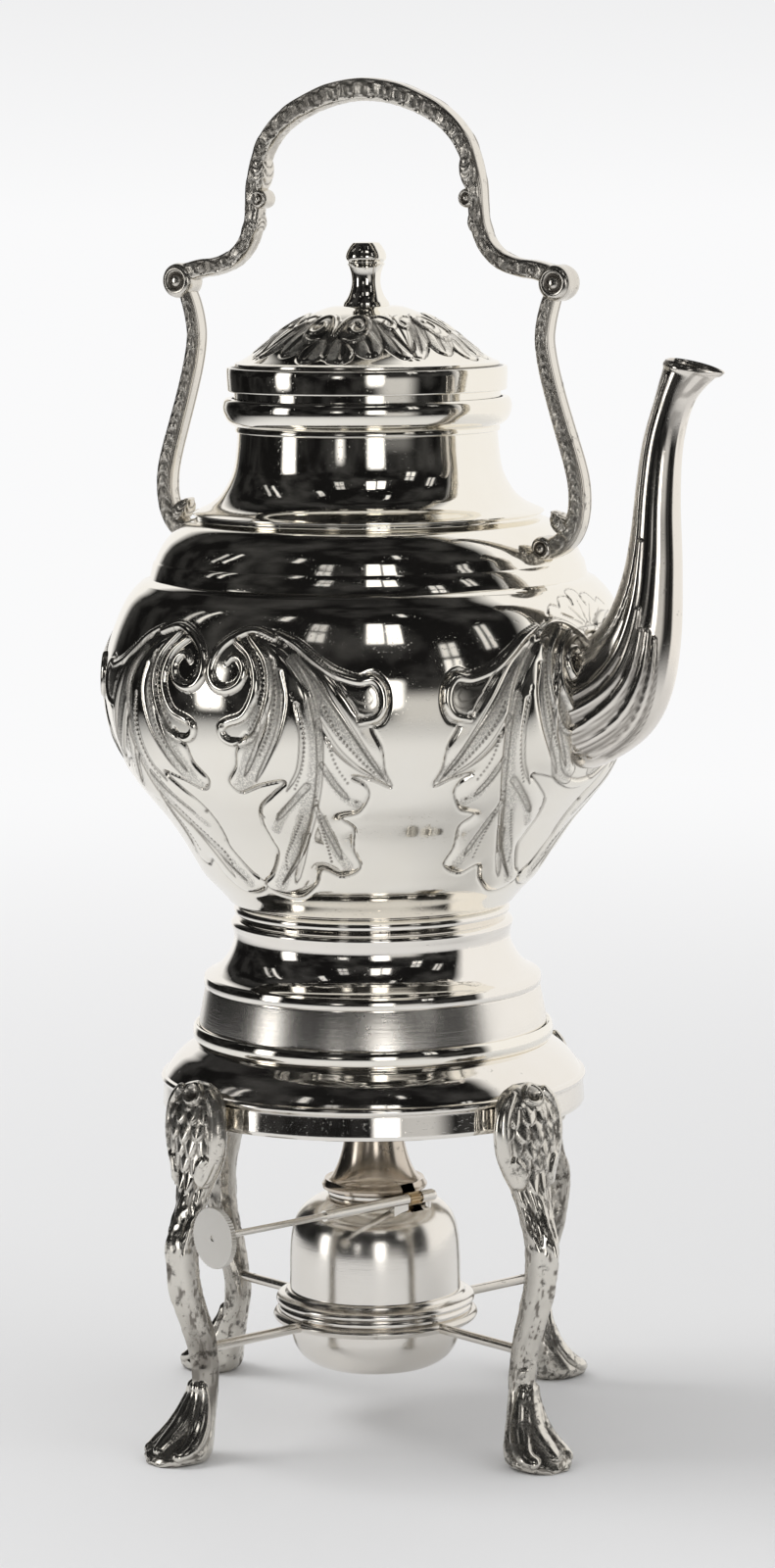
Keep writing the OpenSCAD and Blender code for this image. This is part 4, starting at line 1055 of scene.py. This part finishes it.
def boss(at, r, half):
    """A rolled scroll end: a ring and a raised middle on each face."""
    # radius, distance from the middle, darkness
    face = [(0.0, half + 0.5, 0), (r * 0.16, half + 0.45, 0), (r * 0.3, half + 0.1, 0.3),
            (r * 0.38, half - 0.55, 1), (r * 0.46, half - 0.5, 1), (r * 0.56, half + 0.15, 0.2),
            (r * 0.7, half + 0.3, 0), (r * 0.84, half - 0.05, 0.1), (r * 0.95, half * 0.82, 0.2),
            (r, half * 0.5, 0.1)]
    outline = [(a, -b) for a, b, _ in face] + [(r * 0.985, 0)] + [(a, b) for a, b, _ in face[::-1]]
    dark = [d for _, _, d in face] + [0.15] + [d for _, _, d in face[::-1]]
    outline[0], outline[-1] = (0.01, outline[0][1]), (0.01, outline[-1][1])
    fine = resampled(np.column_stack([outline, dark]), 0.22)
    return button_part(at, fine[:, :2], fine[:, 2])


def leaf_tongue(at, direction, length, wide, thick, seed):
    """A small curled leaf lying along the handle's line, at a place and a direction in the handle's plane."""
    d = np.array([math.cos(math.radians(direction)), math.sin(math.radians(direction))])
    t = np.linspace(0.0, 1.0, 36)
    line = np.array(at)[None, :] + d[None, :] * (length * t)[:, None]
    swell = np.sin(math.pi * np.clip(t, 0.02, 0.98)) ** 0.6
    rows = np.column_stack([line, thick * swell])
    rings = strip_rings(rows, 72)
    rings[..., 1] *= (wide / HANDLE_HALF_DEPTH * (0.35 + 0.65 * swell))[:, None]
    s = Skin(rings)
    for middle in (90, 270, 0, 180):
        for k in range(4):
            v = length * (0.16 + 0.2 * k)
            s.cut(np.array([(middle - 34, v + 1.6), (middle, v), (middle + 34, v + 1.6)]), 0.45, 0.35, 0.95)
    s.matte[:] = 0.25
    return tube_part(s, SEAT)


def make_handle():
    half = np.array(BOW_HALF, float)
    mirror = half[:0:-1] * np.array([-1, 1, 1])
    line = resampled(smooth(np.vstack([mirror, half]), 8), 0.55)
    bow = Skin(strip_rings(line, 96))
    chisel(bow, 3, 3.0, False)
    parts = [tube_part(bow, SEAT)]
    for end in (-1, 1):
        parts.append(boss((end * CORNER_SCROLL[0], CORNER_SCROLL[1] + SEAT), 5.25, 3.9))
        parts.append(boss((end * INNER_SCROLL[0], INNER_SCROLL[1] + SEAT), 2.9, 3.0))
        lean = 90 + end * 6
        parts.append(leaf_tongue((end * 36.0, 246.5), lean - end * 4, 13.0, 3.7, 2.6, 5))
        parts.append(leaf_tongue((end * 37.0, 241.0), -90 + end * 16, 8.0, 3.5, 2.2, 6))
    fitted(joined("chiselled_bow", parts), "kettle", ["handle_bow"], HAND)
    for end, node, seed in ((1, "handle_arm_front", 21), (-1, "handle_arm_rear", 34)):
        mirrored = np.array(ARM, float) * np.array([end, 1, 1])
        arm = Skin(strip_rings(resampled(smooth(mirrored, 8), 0.55), 96))
        chisel(arm, seed, 3.4, True)
        parts = [tube_part(arm, SEAT), boss((end * FOOT_SCROLL[0], FOOT_SCROLL[1] + SEAT + 0.6), 3.6, 3.9)]
        parts.append(leaf_tongue((end * 68.6, 147.8), 90 + end * 38, 9.0, 4.0, 2.4, seed))
        name = "chiselled_arm_" + ("front" if end > 0 else "rear")
        fitted(joined(name, parts), "kettle", [node], HAND)


make_handle()

# ---------------------------------------------------------------- the burner's reservoir and cone

RESERVOIR = np.vstack([
    smooth([[0.01, 16.6], [10, 16.6], [17.2, 17.3], [21.6, 19.6], [24.2, 22.9], [25.4, 26.5], [25.7, 30.5]], 8),
    smooth([[25.7, 45], [25.6, 50.5], [25.3, 55.5], [24.5, 59.9], [22.9, 63.4], [20.2, 66.2], [17.2, 68.0],
            [14.2, 68.9], [12.2, 69.1]], 8)])
CONE = np.vstack([
    [[10.6, 67], [10.6, 70.6], [14.6, 70.6]],
    smooth([[15.4, 70.8], [15.9, 71.6], [15.6, 72.5], [14.9, 72.9]], 6),
    [[15.2, 73.4], [15.1, 73.9], [13.8, 73.7]],
    smooth([[13.2, 74.2], [12.2, 75.7], [11.0, 78.2], [10.0, 81.2], [9.2, 84.6], [8.4, 89.0], [7.8, 93.5],
            [7.4, 98.0]], 8),
    [[6.3, 98.0], [6.3, 97.0]],
    smooth([[7.0, 93.2], [7.6, 88.8], [8.4, 84.2], [9.2, 80.7], [9.8, 77.0]], 6),
    [[9.8, 67]]])
SPINDLE_TURN = math.radians(-17.15)
# The rack's slot: how far out it is on the spindle's side, half its width, and the height from which it is open.
SLOT_OUT, SLOT_HALF, SLOT_FROM = (14.0, 19.8), 2.45, 60


def slotted(name, outline, node, material):
    """A turned piece with the slot that the rack passes through."""
    columns = 320
    points = revolved(outline, columns)
    faces = grid_faces(len(outline), columns, closed_rows=True)
    x, y, z = points[faces].mean(axis=1).T
    u = x * math.cos(SPINDLE_TURN) + y * math.sin(SPINDLE_TURN)
    v = y * math.cos(SPINDLE_TURN) - x * math.sin(SPINDLE_TURN)
    cut = (u > SLOT_OUT[0]) & (u < SLOT_OUT[1]) & (np.abs(v) < SLOT_HALF) & (z > SLOT_FROM)
    return fitted(mesh_object(name, points, faces[~cut], sharp=34), "burner", [node], material)


reservoir_wall = np.vstack([RESERVOIR, offset_inwards(RESERVOIR, 0.9)[::-1]])
slotted("spirit_reservoir", reservoir_wall, "reservoir", BURNER)
slotted("flame_cone", resampled(CONE, 0.9), "burner_cone", HEATED)

# ---------------------------------------------------------------- plain spun pieces

SHOULDER_OUT = np.vstack([
    [[64.7, 134.2], [63.6, 138.6]],
    smooth([[63.0, 139.2], [62.4, 140.6], [61.2, 143.0], [59.4, 145.6], [57.0, 148.0], [54.4, 149.9],
            [51.7, 151.0]], 6),
    smooth([[50.9, 151.5], [50.7, 152.2], [51.7, 152.7], [51.8, 153.2]], 4),
    smooth([[50.6, 153.8], [46.9, 155.5], [43.9, 157.9], [41.9, 160.6], [40.4, 163.5],
            [39.4, 166.6], [NECK_R + 0.4, 171.5], [NECK_R, 176.5]], 6),
    [[NECK_R, 181.5]]])
SHOULDER_IN = np.vstack([
    [[NECK_R - 1, 181.5]],
    smooth([[NECK_R - 1, 175.5], [NECK_R - 0.6, 171.3], [38.3, 166.2], [40.8, 160.2],
            [44.6, 155.6], [49.2, 152.2], [49.8, 150.4], [53.4, 149.0], [56.3, 147.0],
            [58.6, 144.7], [60.3, 142.2], [61.6, 139.6]], 3),
    [[62.5, 138.2], [63.6, 134.2]]])
RIM = np.vstack([
    smooth([[NECK_R, 176.6], [NECK_R + 0.6, 176.8], [NECK_R + 0.7, 177.6], [NECK_R + 0.5, 178.2]], 4),
    smooth([[NECK_R + 1.2, 178.6], [NECK_R + 3.0, 180.0], [NECK_R + 4.0, 182.2],
            [NECK_R + 4.25, 184.0], [NECK_R + 3.9, 185.8], [NECK_R + 3.2, 186.6]], 6),
    [[NECK_R + 1.6, 186.6], [NECK_R + 1.6, 181.5], [NECK_R, 181.5]]])
FOOT = np.vstack([
    smooth([[40.2, 36.5], [41.0, 35.7], [41.0, 34.4], [40.0, 33.2]], 6),
    smooth([[39.9, 32.8], [41.2, 32.2], [42.0, 31.2], [41.8, 30.0], [41.4, 28.8], [41.2, 26.6], [41.8, 24.0],
            [43.2, 21.2], [45.1, 18.6], [47.4, 16.8], [49.4, 15.8]], 6),
    smooth([[50.1, 15.3], [50.4, 14.0], [50.3, 12.6], [49.9, 12.1], [50.1, 11.4]], 4),
    [[51.9, 1.6], [52.0, 0.4], [51.7, 0], [50.4, 0], [48.7, 12.4]],
    smooth([[46.6, 15.2], [44.0, 17.4], [42.0, 20.6], [40.6, 24.2], [40.0, 28.6], [39.2, 32.6]], 4),
    [[39.2, 36.5]]])
BEZEL_R = NECK_R + 1.0
BEZEL = [[BEZEL_R - 0.9, 181.8], [BEZEL_R, 181.8], [BEZEL_R, 189.4], [NECK_R + 1.8, 189.4],
         [NECK_R + 1.8, 190.4], [BEZEL_R - 0.9, 190.4]]
FINIAL = np.vstack([
    [[0, 213.3], [6.9, 213.3]],
    smooth([[6.6, 214.3], [5.3, 216.2], [4.5, 218.4], [4.2, 220.4], [4.4, 222.6], [5.0, 224.6]], 6),
    smooth([[5.6, 225.5], [5.2, 225.9], [5.8, 226.8], [5.95, 227.8], [5.5, 229.3], [4.6, 230.8]], 6),
    smooth([[3.9, 231.6], [2.4, 231.85], [0, 231.9]], 4)])
STAND = np.vstack([
    [[49, -4.4], [52.9, -4.4]],
    smooth([[53.4, -4.9], [55.2, -6.2], [57.6, -8.0], [59.9, -10.4], [61.5, -12.6], [62.2, -13.8]], 6),
    smooth([[63.1, -14.1], [63.5, -14.8], [63.4, -15.5], [63.0, -16.0]], 3),
    [[62.7, -16.3], [62.7, -16.6], [62.73, -17.0], [63.07, -22.0], [63.1, -22.4], [63.05, -22.8], [62.8, -23.3],
     [62.3, -23.5], [61.2, -23.5], [61.7, -15.6]],
    smooth([[60.5, -13.4], [58.8, -11.1], [56.6, -9.0], [54.2, -7.2], [52.2, -5.9]], 4),
    [[49, -5.6]]])
SEAT_RING = np.vstack([
    [[49, 0], [52.4, 0], [52.4, 0.6]],
    smooth([[52.8, 0.95], [53.4, 0.5], [53.85, -1.0], [53.8, -2.5], [53.3, -3.8], [52.6, -4.4]], 6),
    [[49, -4.4]]])
BURNER_RING = np.vstack([
    [[26.2, 31.1]],
    smooth([[28.6, 30.8], [30.0, 31.3], [30.75, 32.5], [30.1, 33.6], [29.0, 34.0]], 6),
    [[26.2, 34.0]]])
GIRDLE = np.vstack([
    [[25.7, 34.0], [28.8, 34.0]],
    smooth([[29.2, 34.4], [29.3, 35.2], [28.9, 36.1]], 5),
    smooth([[29.4, 36.3], [29.9, 37.2], [29.5, 38.3], [28.4, 38.9]], 6),
    smooth([[27.2, 39.3], [26.6, 40.2], [25.7, 40.4]], 4)])
NECK = [[10.6, 66.6], [12.2, 66.6], [12.2, 69.1], [13.9, 69.1], [14.2, 69.5], [14.2, 70.3], [13.9, 70.6], [10.6, 70.6]]

SPUN = [
    # name, outline, body, node, material, slot, height of its zero
    ("kettle_shoulder", np.vstack([SHOULDER_OUT, SHOULDER_IN]), "kettle", "shoulder", SHEET, "silver_sheet", SEAT),
    ("kettle_rim", RIM, "kettle", "mouth_rim", SHEET, "silver_sheet", SEAT),
    ("kettle_foot", FOOT, "kettle", "foot_ring", FOOT_SILVER, "silver_sheet", SEAT),
    ("lid_inner_ring", BEZEL, "lid", "lid_bezel", SHEET, "silver_sheet", SEAT),
    ("lid_knob", FINIAL, "lid", "finial", SHEET, "silver_sheet", SEAT),
    ("stand_plate", STAND, "stand", "stand_top", PLATE, "silver_sheet", SEAT),
    ("stand_bead", SEAT_RING, "stand", "seat_ring", SHEET, "silver_sheet", SEAT),
    ("burner_support", BURNER_RING, "stand", "burner_ring", RODS, "silver_cast", 0.0),
    ("burner_girdle", GIRDLE, "burner", "girdle", BURNER, "burner_silver", 0.0),
    ("burner_collar", NECK, "burner", "burner_neck", BURNER, "burner_silver", 0.0),
]
FOOT_BAND = (1.2, 11.8)
for name, outline, body, node, material, slot, lift in SPUN:
    satin = FOOT_BAND if material is FOOT_SILVER else None
    fitted(lathe(name, outline, lift=lift, satin=satin), body, [node], material)

# The CAD's own nodes that stay, by material.
KEPT = [
    (SHEET, ["strainer", "rim_hinge", "hinge_pin", "finial_nut", "lid_hinge"]),
    (RODS, ["strut_1", "strut_2", "strut_3", "strut_4"]),
    (BURNER, ["bearing_sleeve", "sleeve_bracket", "end_bearing", "wick_spindle"]),
    (THUMB, ["thumb_wheel"]),
    (BRASS, ["wick_tube", "wick_carrier", "wick_rack", "pinion"]),
    (COTTON, ["wick"]),
]
for material, nodes in KEPT:
    for node in nodes:
        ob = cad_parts[node]
        if not ob.material_slots:
            ob.data.materials.append(material)
        for held in ob.material_slots:
            held.material = material

# ---------------------------------------------------------------- camera, floor and light

PHOTO_TURN = math.radians(32)
DISTANCE, CAMERA_Z = 1386.0, 374.65
LENS, SENSOR = 108.0, 36.0
PITCH, YAW, ROLL = math.radians(7.477), math.radians(0.205), math.radians(0.5)
# Level directions: to the right in the photograph, and from the object towards the camera.
RIGHT = Vector((math.cos(PHOTO_TURN), math.sin(PHOTO_TURN), 0))
TOWARDS = Vector((math.sin(PHOTO_TURN), -math.cos(PHOTO_TURN), 0))


def make_camera():
    cam = placed("camera", bpy.data.cameras.new("camera"))
    cam.data.lens, cam.data.sensor_width, cam.data.clip_end = LENS, SENSOR, 100.0
    level = -TOWARDS * math.cos(YAW) + RIGHT * math.sin(YAW)
    look = (level * math.cos(PITCH) + Vector((0, 0, -math.sin(PITCH)))).normalized()
    side = look.cross(Vector((0, 0, 1))).normalized()
    up = side.cross(look)
    tilt = Matrix.Rotation(ROLL, 3, look)
    side, up = tilt @ side, tilt @ up
    turn = Matrix((side, up, -look)).transposed().to_4x4()
    cam.matrix_world = Matrix.Translation((TOWARDS * DISTANCE + Vector((0, 0, CAMERA_Z))) * MM) @ turn
    bpy.context.scene.camera = cam


# What polished metal sees: degrees to the right of the camera, elevation, width, height, brightness.
WINDOWS = [
    (3, 44, 9, 13, 1.6), (13, 43, 8, 12, 1.5), (36, 22, 3.4, 8, 1.1), (40.5, 22, 3.4, 8, 1.1),
    (36, 31, 3.4, 7, 0.8), (40.5, 31, 3.4, 7, 0.8), (-30, 40, 4, 5, 0.7), (-25.4, 40, 4, 5, 0.7),
    (-30, 46, 4, 5, 0.6), (-25.4, 46, 4, 5, 0.6), (58, 34, 2.4, 12, 0.8), (62, 34, 2.4, 12, 0.8),
    (-96, 38, 3, 14, 0.9), (-104, 34, 3, 12, 0.6), (24, 62, 5, 6, 0.9), (-52, 52, 6, 7, 0.8)]
LAMPS = [(7, 3, 13, 22, 2.6), (-73, 4, 12, 26, 2.6), (-24, 6, 6, 9, 1.4)]
GLOWS = [(24, -9, 28, 22, 0.6)]
# The white sweep's middle in degrees to the right of the camera, and half its width.
SWEEP_AT, SWEEP_HALF = 142.0, 66.0
BACKDROP, BACKDROP_TOP = (0.955, 0.955, 0.96), (0.86, 0.86, 0.865)
# In metres from the middle, as soft steps: where the floor fades into the backdrop, and where the table ends for
# what the silver mirrors.
FADE = (0.2, 1.5)
TABLE_EDGE = (0.34, 1.15)
FLOOR_HALF = 12.0


def rising(nt, value, low, high, levels=(0.0, 1.0)):
    """A smooth step from the first level at the low value to the second at the high one."""
    n = add(nt, "ShaderNodeMapRange", interpolation_type="SMOOTHSTEP", From_Min=low, From_Max=high,
            To_Min=levels[0], To_Max=levels[1])
    nt.links.new(value, n.inputs["Value"])
    return n.outputs["Result"]


def band(nt, value, centre, half, soft):
    """1 where the value is within half of the centre, 0 further out, with soft edges."""
    off = maths(nt, "ABSOLUTE", maths(nt, "SUBTRACT", value, centre), 0.0)
    return rising(nt, off, half - soft, half + soft, (1.0, 0.0))


def dotted_with(nt, vector, axis):
    n = add(nt, "ShaderNodeVectorMath", operation="DOT_PRODUCT")
    nt.links.new(vector, n.inputs[0])
    n.inputs[1].default_value = axis
    return n.outputs["Value"]


def mixed(nt, fac, a, b):
    """The first shader where the factor is 0, and the second where it is 1."""
    n = add(nt, "ShaderNodeMixShader")
    for source, socket in zip((fac, a, b), n.inputs):
        nt.links.new(source, socket)
    return n.outputs[0]


def make_world():
    """A pale studio for the eye and for soft light.

    What reflections show is a dim hall with panes, lamps and a white sweep.
    """
    world = bpy.data.worlds.new("world")
    bpy.context.scene.world = world
    world.use_nodes = True
    nt = world.node_tree
    nt.nodes.clear()
    out = add(nt, "ShaderNodeOutputWorld")
    seen = add(nt, "ShaderNodeBackground", Strength=1.0)
    lit = add(nt, "ShaderNodeBackground", Strength=0.75, Color=(1, 1, 1, 1))
    mirrored = add(nt, "ShaderNodeBackground", Color=(1.0, 0.985, 0.965, 1))
    way = add(nt, "ShaderNodeTexCoord").outputs["Generated"]
    front, aside, rise = (dotted_with(nt, way, tuple(v)) for v in (TOWARDS, RIGHT, (0, 0, 1)))
    sky = ramp(nt, maths(nt, "ADD", rise, 0.5), [(0.49, BACKDROP), (0.54, BACKDROP_TOP)])
    nt.links.new(sky, seen.inputs["Color"])
    turn = maths(nt, "MULTIPLY", maths(nt, "ARCTAN2", aside, front), 180 / math.pi)
    level = maths(nt, "MULTIPLY", maths(nt, "ARCSINE", rise, 0.0), 180 / math.pi)
    to_sweep = TOWARDS * math.cos(math.radians(SWEEP_AT)) + RIGHT * math.sin(math.radians(SWEEP_AT))
    edges = [(math.cos(math.radians(SWEEP_HALF + 3)), 0.0), (math.cos(math.radians(SWEEP_HALF - 5)), 0.95)]
    white = ramp(nt, dotted_with(nt, way, tuple(to_sweep)), edges)
    clutter = ramp(nt, noise(nt, way, Scale=3.2, Detail=3.0), [(0.45, 0.006), (0.75, 0.055)])
    total = maths(nt, "MAXIMUM", white, clutter)
    for group, soft in ((WINDOWS, 0.35), (LAMPS, 3.0), (GLOWS, 8.0)):
        for at, up, wide, high, bright in group:
            pane = maths(nt, "MULTIPLY", band(nt, turn, at, wide / 2, soft), band(nt, level, up, high / 2, soft))
            total = maths(nt, "MAXIMUM", total, maths(nt, "MULTIPLY", pane, bright))
    nt.links.new(total, mirrored.inputs["Strength"])
    rays = add(nt, "ShaderNodeLightPath")
    direct = mixed(nt, rays.outputs["Is Camera Ray"], lit.outputs[0], seen.outputs[0])
    nt.links.new(mixed(nt, rays.outputs["Is Glossy Ray"], direct, mirrored.outputs[0]), out.inputs[0])


def make_floor():
    """A plain pale floor that fades into the backdrop, and ends for reflections where a table would."""
    me = bpy.data.meshes.new("floor")
    s = FLOOR_HALF
    me.from_pydata([(-s, -s, 0), (s, -s, 0), (s, s, 0), (-s, s, 0)], [], [(0, 1, 2, 3)])
    floor = placed("floor", me)
    m, nt = node_tree("pale_floor")
    out = add(nt, "ShaderNodeOutputMaterial")
    paper = add(nt, "ShaderNodeBsdfPrincipled", Roughness=0.7, Base_Color=(0.74, 0.74, 0.745, 1))
    glow = add(nt, "ShaderNodeEmission", Strength=1.0, Color=(*BACKDROP, 1))
    clear = add(nt, "ShaderNodeBsdfTransparent")
    rays = add(nt, "ShaderNodeLightPath")
    length = add(nt, "ShaderNodeVectorMath", operation="LENGTH")
    nt.links.new(add(nt, "ShaderNodeTexCoord").outputs["Object"], length.inputs[0])
    away = length.outputs["Value"]
    fade = maths(nt, "MULTIPLY", rising(nt, away, *FADE), rays.outputs["Is Camera Ray"])
    gone = maths(nt, "MULTIPLY", rising(nt, away, *TABLE_EDGE), rays.outputs["Is Glossy Ray"])
    shown = mixed(nt, gone, mixed(nt, fade, paper.outputs[0], glow.outputs[0]), clear.outputs[0])
    nt.links.new(shown, out.inputs[0])
    me.materials.append(m)


AIM = Vector((0, 0, 0.2))


def around(azimuth, elevation, distance):
    """A place round the object: azimuth in degrees to the right of the photograph's camera, and elevation."""
    a, e = math.radians(azimuth), math.radians(elevation)
    flat = TOWARDS * math.cos(a) + RIGHT * math.sin(a)
    return (flat * math.cos(e) + Vector((0, 0, math.sin(e)))) * distance + AIM


def make_lamps():
    for name, where, size, power in (("key", around(-100, 50, 2.4), 1.3, 26), ("fill", around(60, 40, 2.8), 1.8, 9)):
        lamp = bpy.data.lights.new(name, "AREA")
        lamp.shape, lamp.size, lamp.energy = "SQUARE", size, power
        ob = placed(name, lamp)
        ob.location = where
        ob.rotation_mode = "QUATERNION"
        ob.rotation_quaternion = (where - AIM).to_track_quat("Z", "Y")
        ob.visible_glossy = False


make_camera()
make_world()
make_floor()
make_lamps()

bpy.context.scene.view_settings.view_transform = "Standard"
